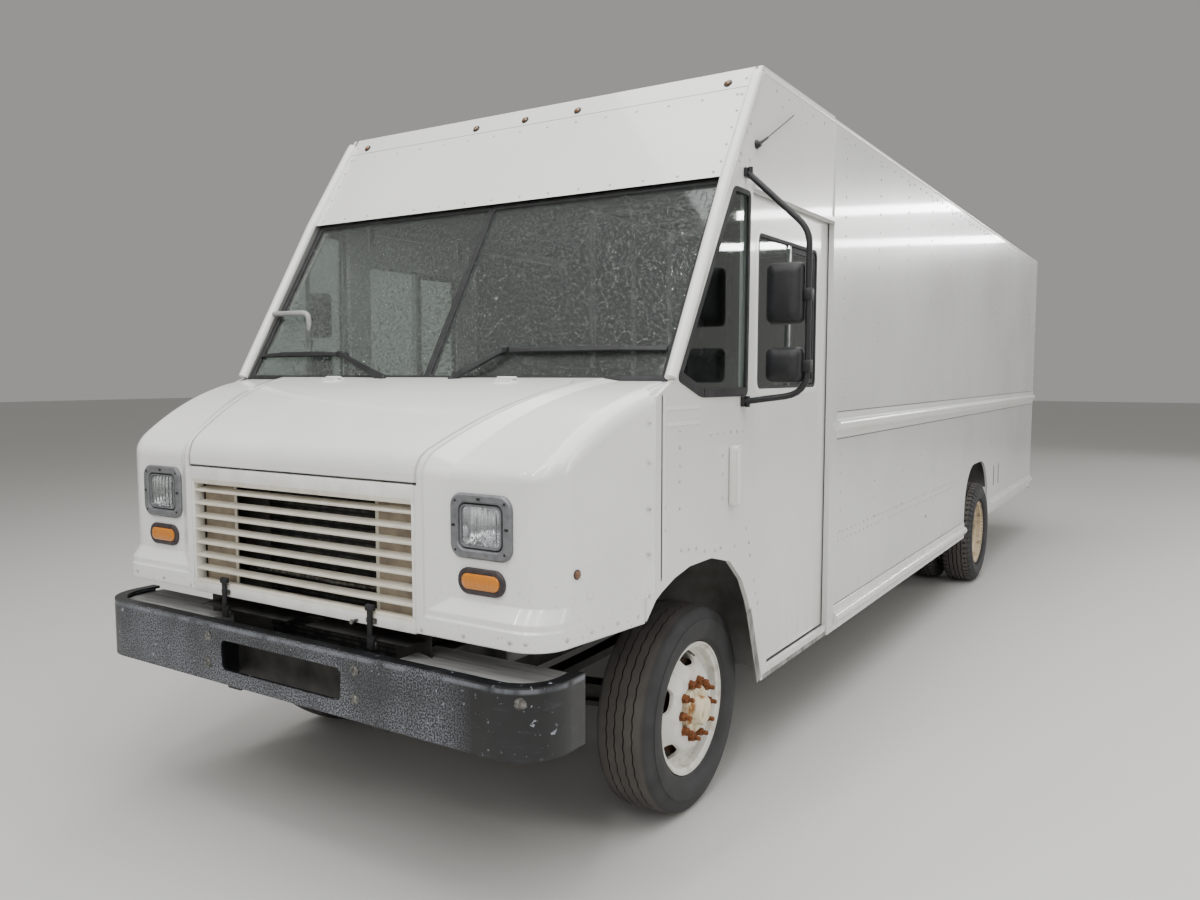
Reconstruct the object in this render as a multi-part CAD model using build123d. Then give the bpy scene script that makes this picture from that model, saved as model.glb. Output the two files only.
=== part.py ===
from build123d import *
import math
import os

# A walk-in step van on a truck chassis with single front and twin rear wheels.
# Millimetres, +Z up, the front faces -Y, the driver's side is +X.
# The origin is on the ground under the middle of the vehicle.

# Overall sizes
wheelbase = 5108.0
front_overhang = 1187.0
rear_overhang = 3245.0
axle_lead = 48.0
step_reach = 165.0
half_width = 1175.0
roof_top = 3016.0
skin = 20.0
gap = 8.0
seat_gap = 0.3

# Places along the vehicle are stations, counted to the rear from a point axle_lead behind the front axle
front_station = -axle_lead
rear_station = wheelbase - axle_lead
bumper_station = front_station - front_overhang
rear_face = rear_station + rear_overhang - step_reach
station_zero_y = -(front_overhang + wheelbase + rear_overhang) / 2 - bumper_station


def at(station):
    """Y of a station."""
    return station_zero_y + station


def block(x, y, z):
    """A box from three (low, high) pairs, y as stations."""
    size = (x[1] - x[0], y[1] - y[0], z[1] - z[0])
    middle = ((x[0] + x[1]) / 2, at((y[0] + y[1]) / 2), (z[0] + z[1]) / 2)
    return Pos(*middle) * Box(*size)


def side_face(points, radius=0.0):
    """A flat face seen from the side, from (station, height) points."""
    face = make_face(Polyline(*[(at(y), z) for y, z in points], close=True))
    if radius > 0:
        face = fillet(face.vertices(), radius)
    return face


def side_slab(points, x, radius=0.0):
    """Such a face made solid between two x values."""
    sketch = Plane.YZ.offset(x[0]) * side_face(points, radius)
    return extrude(sketch, x[1] - x[0], dir=(1, 0, 0))


def plan_slab(face, z):
    """A face drawn in plan, made solid between two heights."""
    return extrude(Pos(0, 0, z[0]) * face, z[1] - z[0], dir=(0, 0, 1))


def front_slab(face, y):
    """A face drawn from the front as (x, height), made solid between two stations."""
    sketch = Plane.XZ.offset(-at(y[1])) * face
    return extrude(sketch, y[1] - y[0], dir=(0, -1, 0))


on_end = (Align.CENTER, Align.CENTER, Align.MIN)


def rod(start, end, radius):
    """A round bar between two points, y as stations."""
    a = Vector(start[0], at(start[1]), start[2])
    b = Vector(end[0], at(end[1]), end[2])
    return Plane(a, z_dir=b - a) * Cylinder(radius, (b - a).length, align=on_end)


def cross_rod(x, y, z, radius):
    """A round bar along X."""
    return Pos((x[0] + x[1]) / 2, at(y), z) * Rot(0, 90, 0) * Cylinder(radius, x[1] - x[0])


def other_side(shape):
    return mirror(shape, Plane.YZ)


def both(shape):
    """The shape and its mirror image on the other side."""
    return shape + other_side(shape)


parts = {}

# Tyres and rims
tyre_radius = 419.0
tyre_width = 248.0
tread_half = 92.0
shoulder_radius = 412.0
bead_half = 80.0
rim_flange_radius = 266.0
rim_barrel_radius = 250.0
bead_radius = rim_barrel_radius + 0.4
rim_well_radius = 222.0
rim_half = 98.0
disc_offset = 144.0
front_disc_offset = 104.0
disc_thickness = 10.0
stud_circle = 112.5
stud_count = 10
stud_radius = 11.0
hub_bore = 110.0
hand_holes = 5
hole_circle = 194.0
front_spindle = 45.0
rear_spindle = 50.0

front_wheel_x = half_width - 225.0
king_pin_x = front_wheel_x - 90.0
twin_spacing = 2 * disc_offset + seat_gap
rear_outer_x = half_width - 87.0
rear_inner_x = rear_outer_x - twin_spacing
axle_height = tyre_radius


def tyre():
    """One tyre about the X axis."""
    half = tyre_width / 2
    heel = rim_flange_radius + 3
    edge = shoulder_radius - 4
    wall_top = tread_half + 14
    shoulder = shoulder_radius - 12
    wall = [
        Line((-bead_half, bead_radius), (-bead_half - 2, heel)),
        ThreePointArc((-bead_half - 2, heel), (-half, 338), (-wall_top, shoulder)),
        ThreePointArc((-wall_top, shoulder), (-tread_half - 8, edge), (-tread_half, shoulder_radius)),
        ThreePointArc((-tread_half, shoulder_radius), (0, tyre_radius), (tread_half, shoulder_radius)),
        ThreePointArc((tread_half, shoulder_radius), (tread_half + 8, edge), (wall_top, shoulder)),
        ThreePointArc((wall_top, shoulder), (half, 338), (bead_half + 2, heel)),
        Line((bead_half + 2, heel), (bead_half, bead_radius)),
        Line((bead_half, bead_radius), (-bead_half, bead_radius)),
    ]
    return revolve(make_face(wall), Axis.X)


def rim(outward, face):
    """One steel disc wheel about X, its disc face at the given offset towards outward (+1 or -1)."""
    barrel = [
        (-rim_half, rim_flange_radius),
        (-rim_half + 10, rim_flange_radius),
        (-rim_half + 14, rim_barrel_radius),
        (-45, rim_barrel_radius - 2),
        (-30, rim_well_radius + 8),
        (30, rim_well_radius + 8),
        (45, rim_barrel_radius - 2),
        (rim_half - 14, rim_barrel_radius),
        (rim_half - 10, rim_flange_radius),
        (rim_half, rim_flange_radius),
        (rim_half, rim_flange_radius - 9),
        (rim_half - 8, rim_flange_radius - 9),
        (rim_half - 12, rim_barrel_radius - 9),
        (52, rim_barrel_radius - 11),
        (36, rim_well_radius - 1),
        (-36, rim_well_radius - 1),
        (-52, rim_barrel_radius - 11),
        (-rim_half + 12, rim_barrel_radius - 9),
        (-rim_half + 8, rim_flange_radius - 9),
        (-rim_half, rim_flange_radius - 9),
    ]
    ring = revolve(make_face(Polyline(*barrel, close=True)), Axis.X)
    back = face - disc_thickness
    dish = make_face(
        [
            Line((face, hub_bore), (face, 152)),
            ThreePointArc((face, 152), (face - 8, 168), (face - 28, 184)),
            Line((face - 28, 184), (36, rim_well_radius)),
            Line((36, rim_well_radius), (22, rim_well_radius)),
            Line((22, rim_well_radius), (back - 28, 176)),
            ThreePointArc((back - 28, 176), (back - 7, 160), (back, 148)),
            Line((back, 148), (back, hub_bore)),
            Line((back, hub_bore), (face, hub_bore)),
        ]
    )
    disc = revolve(dish, Axis.X)
    for number in range(hand_holes):
        turn = 360.0 / hand_holes * number
        place = Rot(turn, 0, 0) * Pos(face - 50, 0, hole_circle) * Rot(0, 90, 0)
        disc = disc - place * extrude(SlotOverall(72, 38), 45, both=True)
    wheel = ring + disc
    if outward < 0:
        wheel = other_side(wheel)
    return wheel


def front_hub():
    """The turning hub of the front left wheel about the X axis, with studs, nuts, cap and brake disc."""
    flange_out = front_disc_offset - disc_thickness - seat_gap
    hub = Pos(flange_out - 9, 0, 0) * Rot(0, 90, 0) * Cylinder(stud_circle + 27, 18)
    barrel = Pos(flange_out - 42, 0, 0) * Rot(0, 90, 0) * Cylinder(82, 84)
    pilot = Pos(flange_out + 16, 0, 0) * Rot(0, 90, 0) * Cylinder(88, 32)
    cap = Pos(flange_out + 50, 0, 0) * Rot(0, 90, 0) * Cylinder(56, 50)
    disc = Pos(flange_out - 72, 0, 0) * Rot(0, 90, 0) * Cylinder(190, 32)
    hub = hub + barrel + pilot + chamfer(cap.edges().group_by(Axis.X)[-1], 10) + disc
    for number in range(stud_count):
        turn = 360.0 / stud_count * (number + 0.5)
        stud = Pos(flange_out + 22, 0, stud_circle) * Rot(0, 90, 0) * Cylinder(stud_radius, 76)
        nut = extrude(RegularPolygon(19, 6), 11.5, both=True)
        nut = Pos(front_disc_offset + 12, 0, stud_circle) * Rot(0, 90, 0) * nut
        hub = hub + Rot(turn, 0, 0) * (stud + nut)
    bore = Pos(flange_out - 90, 0, 0) * Rot(0, 90, 0) * Cylinder(front_spindle + seat_gap, 150)
    return hub - bore


def rear_hub():
    """The turning hub of the left twin wheels, its mounting face at x = 0 and the outside towards +X."""
    drum = Pos(-125, 0, 0) * Rot(0, 90, 0) * Cylinder(205, 190)
    drum = drum - Pos(-140, 0, 0) * Rot(0, 90, 0) * Cylinder(188, 190)
    flange = Pos(-20, 0, 0) * Rot(0, 90, 0) * Cylinder(stud_circle + 27, 40)
    barrel = Pos(55, 0, 0) * Rot(0, 90, 0) * Cylinder(84, 160)
    shaft_flange = Pos(140, 0, 0) * Rot(0, 90, 0) * Cylinder(74, 16)
    hub = drum + flange + barrel + shaft_flange
    for number in range(stud_count):
        turn = 360.0 / stud_count * number
        stud = Pos(22, 0, stud_circle) * Rot(0, 90, 0) * Cylinder(stud_radius, 84)
        nut = Pos(24, 0, stud_circle) * Rot(0, 90, 0) * extrude(RegularPolygon(19, 6), 11.5, both=True)
        hub = hub + Rot(turn, 0, 0) * (stud + nut)
    for number in range(8):
        turn = 45.0 * number
        bolt = Pos(152, 0, 58) * Rot(0, 90, 0) * extrude(RegularPolygon(10, 6), 6, both=True)
        hub = hub + Rot(turn, 0, 0) * bolt
    bore = Pos(-110, 0, 0) * Rot(0, 90, 0) * Cylinder(rear_spindle + seat_gap, 260)
    return hub - bore


front_wheel = Pos(front_wheel_x, at(front_station), axle_height)
front_left_rim = front_wheel * (rim(1, front_disc_offset) + front_hub())
front_left_tyre = front_wheel * tyre()
parts["front_left_tyre"] = front_left_tyre
parts["front_left_rim"] = front_left_rim
parts["front_right_tyre"] = other_side(front_left_tyre)
parts["front_right_rim"] = other_side(front_left_rim)

twin_face = rear_inner_x + disc_offset - disc_thickness - seat_gap
twin_outer = Pos(rear_outer_x, at(rear_station), axle_height)
twin_inner = Pos(rear_inner_x, at(rear_station), axle_height)
rear_left_tyres = twin_outer * tyre() + twin_inner * tyre()
parts["rear_left_tyres"] = rear_left_tyres
parts["rear_right_tyres"] = other_side(rear_left_tyres)
rear_left_rims = twin_outer * rim(-1, disc_offset) + twin_inner * rim(1, disc_offset)
rear_left_rims = rear_left_rims + Pos(twin_face, at(rear_station), axle_height) * rear_hub()
parts["rear_left_rims"] = rear_left_rims
parts["rear_right_rims"] = other_side(rear_left_rims)

# Frame rails, springs and axles
rail_half = 432.0
rail_flange = 76.0
rail_web = 9.0
rail_bottom = axle_height + 126.0
rail_depth = 205.0
rail_top = rail_bottom + rail_depth
rail_front = -1130.0
rail_rear = rear_face - 48.0
hitch_station = rear_face - 380.0
hitch_height = rail_bottom + 105.0
hitch_pitch_y = 120.0
hitch_pitch_z = 80.0
hitch_hole = 8.5


def channel():
    """The left frame rail, a C section open to the inside."""
    outline = [
        (rail_half, rail_bottom),
        (rail_half, rail_top),
        (rail_half - rail_flange, rail_top),
        (rail_half - rail_flange, rail_top - rail_web),
        (rail_half - rail_web, rail_top - rail_web),
        (rail_half - rail_web, rail_bottom + rail_web),
        (rail_half - rail_flange, rail_bottom + rail_web),
        (rail_half - rail_flange, rail_bottom),
    ]
    return front_slab(make_face(Polyline(*outline, close=True)), (rail_front, rail_rear))


# The crossmembers by station, depth along Y, low and high z
gearbox_low = rail_bottom + 55.0
gearbox_rear = 890.0
crossmembers = [
    (-1100.0, 60.0, rail_bottom + 20, rail_top - 20),
    (620.0, 80.0, rail_bottom + 12, gearbox_low - seat_gap),
    (2000.0, 80.0, rail_top - 85, rail_top - 12),
    (3400.0, 80.0, rail_top - 85, rail_top - 12),
    (rear_station + 840.0, 80.0, rail_bottom + 20, rail_top - 40),
    (rear_face - 740.0, 80.0, rail_bottom + 20, rail_top - 40),
]
rails = both(channel())
for station, depth, low, high in crossmembers:
    member_x = (-rail_half + rail_web, rail_half - rail_web)
    rails = rails + block(member_x, (station - depth / 2, station + depth / 2), (low, high))
for station in (hitch_station - hitch_pitch_y / 2, hitch_station + hitch_pitch_y / 2):
    for height in (hitch_height - hitch_pitch_z / 2, hitch_height + hitch_pitch_z / 2):
        rails = rails - cross_rod((-rail_half - 20, rail_half + 20), station, height, hitch_hole)
parts["frame_rails"] = rails

spring_x = 392.0
spring_width = 76.0
front_spring_half = 660.0
rear_spring_half = 720.0
spring_gap = 1.0


def leaf_pack(station, half_length, seat_z, leaves, thickness, hanger_drop):
    """One leaf spring with its hangers; leaves shorten downwards from the top one."""
    pack = None
    for number in range(leaves):
        length = half_length * (1 - 0.16 * number)
        rise = hanger_drop * (1 - 0.16 * number) ** 2
        top = seat_z + thickness * (leaves - number)
        low = top - thickness
        front = at(station - length)
        rear = at(station + length)
        arc_low = ThreePointArc((front, low + rise), (at(station), low), (rear, low + rise))
        arc_top = ThreePointArc((front, top + rise), (at(station), top), (rear, top + rise))
        ends = [
            Line((front, low + rise), (front, top + rise)),
            Line((rear, low + rise), (rear, top + rise)),
        ]
        leaf_face = make_face([arc_low, arc_top] + ends)
        plane = Plane.YZ.offset(spring_x - spring_width / 2)
        leaf = extrude(plane * leaf_face, spring_width, dir=(1, 0, 0))
        pack = leaf if pack is None else pack + leaf
    eye_z = seat_z + thickness * (leaves - 0.5) + hanger_drop
    x = (spring_x - spring_width / 2, spring_x + spring_width / 2)
    for side in (-1, 1):
        eye_y = station + side * half_length
        eye = cross_rod(x, eye_y, eye_z, 24)
        hanger = block(x, (eye_y - 30, eye_y + 30), (eye_z, rail_bottom))
        pack = pack + eye + hanger
    return pack


front_pad = axle_height + 19.0
rear_pad = axle_height + 51.0
front_pack = leaf_pack(front_station, front_spring_half, front_pad, 3, 12.0, 22.0)
rear_pack = leaf_pack(rear_station, rear_spring_half, rear_pad, 4, 11.0, 12.0)
parts["leaf_springs"] = both(front_pack + rear_pack)

# The front axle beam is an I section, dropped between the spring pads
beam_half = 45.0
pin_radius = 22.0
yoke_reach = 62.0


def front_axle():
    low = axle_height - 83.0
    high = front_pad - seat_gap
    outline = [
        (0, low),
        (spring_x + 70, low),
        (king_pin_x - 60, axle_height - 42),
        (king_pin_x, axle_height - 42),
        (king_pin_x, axle_height + 42),
        (king_pin_x - 75, axle_height + 42),
        (spring_x + 60, high),
        (0, high),
    ]
    face = make_face(Polyline(*outline, close=True))
    beam = front_slab(face, (front_station - beam_half, front_station + beam_half))
    pocket_outline = [
        (-1, low + 22),
        (spring_x + 64, low + 22),
        (king_pin_x - 70, axle_height - 22),
        (king_pin_x - 84, axle_height + 22),
        (spring_x + 66, high - 22),
        (-1, high - 22),
    ]
    pocket = make_face(Polyline(*pocket_outline, close=True))
    beam = beam - front_slab(pocket, (front_station - beam_half - 1, front_station - 9))
    beam = beam - front_slab(pocket, (front_station + 9, front_station + beam_half + 1))
    king_pin = Pos(king_pin_x, at(front_station), axle_height)
    end = king_pin * Cylinder(beam_half, 84)
    bore = king_pin * Cylinder(pin_radius + seat_gap, 200)
    pads = block((spring_x - 48, spring_x + 48), (front_station - 70, front_station + 70), (high - 26, high))
    return both(beam + end + pads - bore)


parts["front_axle"] = front_axle()

arm_back = 150.0
tie_station = front_station + arm_back
arm_z = axle_height - 89.0
tie_pin_radius = 10.0


def knuckle():
    """The left steering knuckle: a yoke about the king pin, a spindle, and an arm to the tie rod."""
    king_pin = Pos(king_pin_x, at(front_station), axle_height)
    pin = king_pin * Cylinder(pin_radius, 196)
    upper = king_pin * Pos(0, 0, 76) * Cylinder(44, 44)
    lower = king_pin * Pos(0, 0, -76) * Cylinder(44, 44)
    plate_y = (front_station - 58, front_station + 58)
    plate = block((king_pin_x + 50, king_pin_x + 74), plate_y, (axle_height - 98, axle_height + 98))
    web_y = (front_station - 34, front_station + 34)
    webs = block((king_pin_x, king_pin_x + 60), web_y, (axle_height + 54, axle_height + 98))
    webs = webs + block((king_pin_x, king_pin_x + 60), web_y, (axle_height - 98, axle_height - 54))
    spindle_end = front_wheel_x + front_disc_offset - disc_thickness - 22
    spindle = cross_rod((king_pin_x + 60, spindle_end), front_station, axle_height, front_spindle)
    arm_outline = [
        (king_pin_x - 28, at(front_station)),
        (king_pin_x - 24, at(tie_station)),
        (king_pin_x, at(tie_station + 24)),
        (king_pin_x + 24, at(tie_station)),
        (king_pin_x + 34, at(front_station + 20)),
    ]
    arm_face = make_face(Polyline(*arm_outline, close=True))
    arm = plan_slab(arm_face, (arm_z - 5, arm_z + 17))
    ball_pin = Pos(king_pin_x, at(tie_station), arm_z - 22) * Cylinder(tie_pin_radius, 50)
    return pin + upper + lower + plate + webs + spindle + arm + ball_pin


parts["knuckle_left"] = knuckle()
parts["knuckle_right"] = other_side(knuckle())

tie_x = king_pin_x
tie_z = arm_z - 32.0
tie_bar = cross_rod((-tie_x, tie_x), tie_station, tie_z, 17)
tie_end = Pos(tie_x, at(tie_station), tie_z) * Cylinder(28, 40)
tie_hole = Pos(tie_x, at(tie_station), tie_z) * Cylinder(tie_pin_radius + 1, 60)
parts["tie_rod"] = tie_bar + both(tie_end) - both(tie_hole)


def rear_axle():
    """The rear axle housing with its differential, tubes, pads and backing plates."""
    bowl = Pos(0, at(rear_station), axle_height) * Rot(0, 90, 0) * Cylinder(165, 150)
    bowl = fillet(bowl.edges().filter_by(GeomType.CIRCLE), 40)
    nose_piece = Pos(0, at(rear_station - 165), axle_height) * Rot(90, 0, 0) * Cone(95, 60, 130)
    spindle = cross_rod((-twin_face - 8, twin_face + 8), rear_station, axle_height, rear_spindle)
    pad_y = (rear_station - 70, rear_station + 70)
    pads = block((spring_x - 46, spring_x + 46), pad_y, (axle_height, rear_pad - seat_gap))
    plate = cross_rod((twin_face - 246, twin_face - 236), rear_station, axle_height, 178)
    return bowl + nose_piece + spindle + both(pads) + both(plate)


parts["rear_axle"] = rear_axle()

shaft_start = (0.0, gearbox_rear + 1.7, gearbox_low + 50)
shaft_middle = (0.0, 2650.0, gearbox_low)
shaft_end = (0.0, rear_station - 236.0, axle_height)
driveshaft = rod(shaft_start, shaft_middle, 45) + rod(shaft_middle, shaft_end, 45)
driveshaft = driveshaft + Pos(0, at(shaft_middle[1]), shaft_middle[2]) * Sphere(58)
bearing_y = (shaft_middle[1] - 30, shaft_middle[1] + 30)
bearing_half = rail_half - rail_web - seat_gap
driveshaft = driveshaft + block((-24, 24), bearing_y, (shaft_middle[2], gearbox_low + 100))
bearing_z = (gearbox_low + 90, gearbox_low + 120)
driveshaft = driveshaft + block((-bearing_half, bearing_half), bearing_y, bearing_z)
parts["driveshaft"] = driveshaft

cover_top = 1250.0
engine = block((-290, 290), (-800, 180), (rail_bottom + 65, cover_top - 60))
engine = engine + block((-150, 150), (180, gearbox_rear), (gearbox_low, rail_top - 15))
mount_x = (290, rail_half - rail_web - seat_gap)
engine = engine + both(block(mount_x, (-420, -340), (rail_bottom + 95, rail_bottom + 155)))
parts["engine"] = engine

radiator = block((-345, 345), (-985, -925), (690, 1400))
radiator = radiator + block((-352, 352), (-990, -920), (1400, 1440))
radiator = radiator + block((-345, 345), (-990, -920), (650, 690))
radiator = radiator + both(block((340, 420), (-975, -935), (rail_top + seat_gap, rail_top + 30)))
parts["radiator"] = radiator

tank_x = (-880.0, -480.0)
tank_y = (1500.0, 2600.0)
tank_z = (420.0, rail_top - 10)
tank = block(tank_x, tank_y, tank_z)
tank = fillet(tank.edges().filter_by(Axis.Y), 60)
for station in (tank_y[0] + 220, tank_y[1] - 220):
    strap_z = (rail_bottom + 55, rail_top - 15)
    tank = tank + block((tank_x[1] - 20, -rail_half - seat_gap), (station - 30, station + 30), strap_z)
parts["fuel_tank"] = tank

muffler_x = 640.0
muffler_z = 560.0
muffler = Pos(muffler_x, at(2300), muffler_z) * Rot(90, 0, 0) * Cylinder(115, 900)
pipe_front = rod((muffler_x, 950, muffler_z), (muffler_x, 1900, muffler_z), 42)
pipe_rear = rod((muffler_x, 2700, muffler_z), (muffler_x, 4250, muffler_z), 42)
elbow = Pos(muffler_x, at(4250), muffler_z) * Sphere(42)
outlet = rod((muffler_x, 4250, muffler_z), (half_width - 55, 4250, muffler_z - 90), 42)
exhaust = muffler + pipe_front + pipe_rear + elbow + outlet
for station in (1300.0, 2300.0, 3300.0):
    hanger_y = (station - 20, station + 20)
    hanger_z = (rail_bottom + 105, rail_bottom + 135)
    exhaust = exhaust + block((rail_half + seat_gap, muffler_x), hanger_y, hanger_z)
    exhaust = exhaust + block((muffler_x - 15, muffler_x + 15), hanger_y, (muffler_z, hanger_z[1]))
parts["exhaust"] = exhaust

# Front bumper: a plate bent round at both ends, with a slot in the middle
bumper_face = bumper_station
bumper_low = 610.0
bumper_high = 838.0
bumper_half = half_width - 33.0
bumper_corner = 175.0
bumper_end = -982.0
bumper_plate = 14.0
bumper_lip = 46.0
lip_thickness = 10.0
slot_half = 320.0
slot_low = 664.0
slot_high = 778.0
slot_corner = 22.0


def bumper_edges(inset):
    """Plan outline of the bumper pulled in by inset, open at the back."""
    front = at(bumper_face + inset)
    side = bumper_half - inset
    corner = bumper_corner - inset
    turn_y = front + corner
    turn_x = side - corner
    k = math.sqrt(0.5) * corner
    return [
        Line((-side, at(bumper_end)), (-side, turn_y)),
        ThreePointArc((-side, turn_y), (-turn_x - k, turn_y - k), (-turn_x, front)),
        Line((-turn_x, front), (turn_x, front)),
        ThreePointArc((turn_x, front), (turn_x + k, turn_y - k), (side, turn_y)),
        Line((side, turn_y), (side, at(bumper_end))),
    ]


def bumper_band(outer, inner, z):
    """A band that follows the bumper between two insets and two heights."""
    ends = []
    for side in (-1, 1):
        start = (side * (bumper_half - outer), at(bumper_end))
        stop = (side * (bumper_half - inner), at(bumper_end))
        ends.append(Line(start, stop))
    return plan_slab(make_face(bumper_edges(outer) + bumper_edges(inner) + ends), z)


def front_bumper():
    bar = bumper_band(0, bumper_plate, (bumper_low, bumper_high))
    lip = bumper_band(2, bumper_lip, (bumper_high - lip_thickness, bumper_high))
    toe = bumper_band(2, bumper_lip, (bumper_low, bumper_low + lip_thickness))
    slot_face = RectangleRounded(2 * slot_half, slot_high - slot_low, slot_corner)
    slot_face = Pos(0, (slot_low + slot_high) / 2) * slot_face
    slot = front_slab(slot_face, (bumper_face - 20, bumper_face + 40))
    bracket_x = (rail_half - 70, rail_half + 14)
    bracket = block(bracket_x, (bumper_face + bumper_plate - 2, rail_front - seat_gap), (620, 760))
    return bar + lip + toe - slot + both(bracket)


parts["front_bumper"] = front_bumper()

# The step plates fill the space between the bumper and the nose on both sides
step_inner = 500.0
step_corner = bumper_corner - 28.0
step_front = bumper_face + bumper_corner - step_corner
step_rear = -955.0
step_turn = bumper_half - bumper_corner
step_reach_x = step_turn + step_corner
step_side = step_front + step_corner
step_mid = math.sqrt(0.5) * step_corner
step_face = make_face(
    [
        Line((step_inner, at(step_front)), (step_turn, at(step_front))),
        ThreePointArc(
            (step_turn, at(step_front)),
            (step_turn + step_mid, at(step_side - step_mid)),
            (step_reach_x, at(step_side)),
        ),
        Line((step_reach_x, at(step_side)), (step_reach_x, at(step_rear))),
        Line((step_reach_x, at(step_rear)), (step_inner, at(step_rear))),
        Line((step_inner, at(step_rear)), (step_inner, at(step_front))),
    ]
)
step = plan_slab(step_face, (bumper_high - 30, bumper_high - 22))
step_leg = block((step_inner, step_inner + 20), (step_front + 20, step_rear), (700, bumper_high - 24))
step_leg = step_leg + block((rail_half + seat_gap, step_inner + 20), (-1100, -960), (700, 730))
parts["bumper_steps"] = both(step + step_leg)

step_deep = rear_station + rear_overhang
rear_bumper = block((-bumper_half, bumper_half), (rear_face + 12, step_deep), (520, 560))
rear_bumper = rear_bumper + block((-bumper_half, bumper_half), (step_deep - 12, step_deep), (460, 560))
for x in (rail_half - 40, -rail_half - 20):
    rear_bumper = rear_bumper + block((x, x + 60), (rail_rear + seat_gap, step_deep - 12), (560, 700))
parts["rear_bumper"] = rear_bumper

# The nose: a moulded shell with a proud middle, set-back lamp pods, a soft ledge and a foot band
nose_front = -1152.0
lamp_front = -1110.0
nose_seam = -590.0
nose_wall = 12.0
nose_low = 921.0
foot_top = 978.0
foot_crease = 985.0
foot_proud = 7.0
ledge_low = 1004.0
ledge_high = 1048.0
screen_foot_y = -462.0
screen_foot_z = 1748.0
screen_head_y = -21.0
screen_head_z = 2524.0
side_top = 2976.0
roof_front_y = 286.0
corner_side_x = half_width - 77.0
corner_y = -1010.0
nose_corner = 130.0
pod_rounding = 62.0
inner_rounding = 50.0
hood_front_half = half_width - 583.0
hood_rear_half = half_width - 349.0
hood_gap = 9.0
hood_corner = 45.0
hood_skin = 14.0
grille_half = hood_front_half - 2.0
hood_rear_y = -524.0
bulge_margin = 34.0
ramp_width = 72.0
ramp_start = 6.0
tuck = 1.0
hood_edge_z = 1416.0
hood_lip_z = 1528.0
hood_lip_y = -1098.0
hood_mid_y = -790.0
hood_mid_z = 1672.0
pod_lip_y = -1100.0
pod_lip_z = 1468.0
pod_mid_y = -810.0
pod_mid_z = 1647.0
nose_back_z = 1741.0
nose_back_y = screen_foot_y - seat_gap
hood_back_z = nose_back_z + 11.0
hood_line = ((hood_lip_y, hood_lip_z), (hood_mid_y, hood_mid_z), (nose_back_y, hood_back_z))
pod_line = ((pod_lip_y, pod_lip_z), (pod_mid_y, pod_mid_z), (nose_back_y, nose_back_z))


def arc_height(line, y):
    """Height at station y of the arc through three (station, height) points."""
    a, b, c = line
    twist = 2 * (a[0] * (b[1] - c[1]) + b[0] * (c[1] - a[1]) + c[0] * (a[1] - b[1]))
    squares = [p[0] ** 2 + p[1] ** 2 for p in line]
    across = squares[0] * (b[1] - c[1]) + squares[1] * (c[1] - a[1]) + squares[2] * (a[1] - b[1])
    up = squares[0] * (c[0] - b[0]) + squares[1] * (a[0] - c[0]) + squares[2] * (b[0] - a[0])
    centre = (across / twist, up / twist)
    radius = math.hypot(a[0] - centre[0], a[1] - centre[1])
    return centre[1] + math.sqrt(radius ** 2 - (y - centre[0]) ** 2)


def crown_z(y):
    """Height of the crowned hood line at a station."""
    return arc_height(hood_line, y)


def nose_plan(front, inset):
    """Plan outline of the nose, with its front at the given station, pulled in by inset."""
    f = at(front + inset)
    points = [
        (-half_width + inset, at(nose_seam)),
        (-corner_side_x + inset, f),
        (corner_side_x - inset, f),
        (half_width - inset, at(nose_seam)),
        (half_width - inset, at(nose_back_y)),
        (-half_width + inset, at(nose_back_y)),
    ]
    face = make_face(Polyline(*points, close=True))
    corners = face.vertices().sort_by(Axis.Y)[:2]
    return fillet(corners, nose_corner - inset)


def pod_profile(drop):
    """Side profile under which the lamp pods lie."""
    front = nose_front - 50
    lip = (at(pod_lip_y), pod_lip_z - drop)
    back = (at(nose_back_y), nose_back_z - drop)
    return make_face(
        [
            Line((at(front), 700), (at(front), 1395 - drop)),
            Line((at(front), 1395 - drop), lip),
            ThreePointArc(lip, (at(pod_mid_y), pod_mid_z - drop), back),
            Line(back, (at(nose_back_y), 700)),
            Line((at(nose_back_y), 700), (at(front), 700)),
        ]
    )


def hood_profile(front, drop, low):
    """Side profile of the proud middle part down to its front edge."""
    edge = (at(front), hood_edge_z + 20 - drop)
    lip = (at(hood_lip_y), hood_lip_z - drop)
    back = (at(nose_back_y), hood_back_z - drop)
    return make_face(
        [
            Line((at(front), low), edge),
            ThreePointArc(edge, (at(front + 15), hood_edge_z + 76 - drop), lip),
            ThreePointArc(lip, (at(hood_mid_y), hood_mid_z - drop), back),
            Line(back, (at(nose_back_y), low)),
            Line((at(nose_back_y), low), (at(front), low)),
        ]
    )


def across(face):
    """A side profile made solid over the full width."""
    reach = half_width + 50
    return extrude(Plane.YZ.offset(-reach) * face, 2 * reach, dir=(1, 0, 0))


def edge_x(y, margin):
    """Half width of the hood line at a station, with a margin added."""
    lean = (hood_rear_half - hood_front_half) / (hood_rear_y - nose_front)
    return hood_front_half + margin + lean * (y - nose_front)


def wedge(margin, front, rear, z, corner=0.0):
    """A plan trapezium that follows the hood line, made solid; its rear corners may be rounded."""
    outline = [
        (-edge_x(front, margin), at(front)),
        (edge_x(front, margin), at(front)),
        (edge_x(rear, margin), at(rear)),
        (-edge_x(rear, margin), at(rear)),
    ]
    face = make_face(Polyline(*outline, close=True))
    if corner > 0:
        face = fillet(face.vertices().sort_by(Axis.Y)[-2:], corner)
    return plan_slab(face, z)


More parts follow.
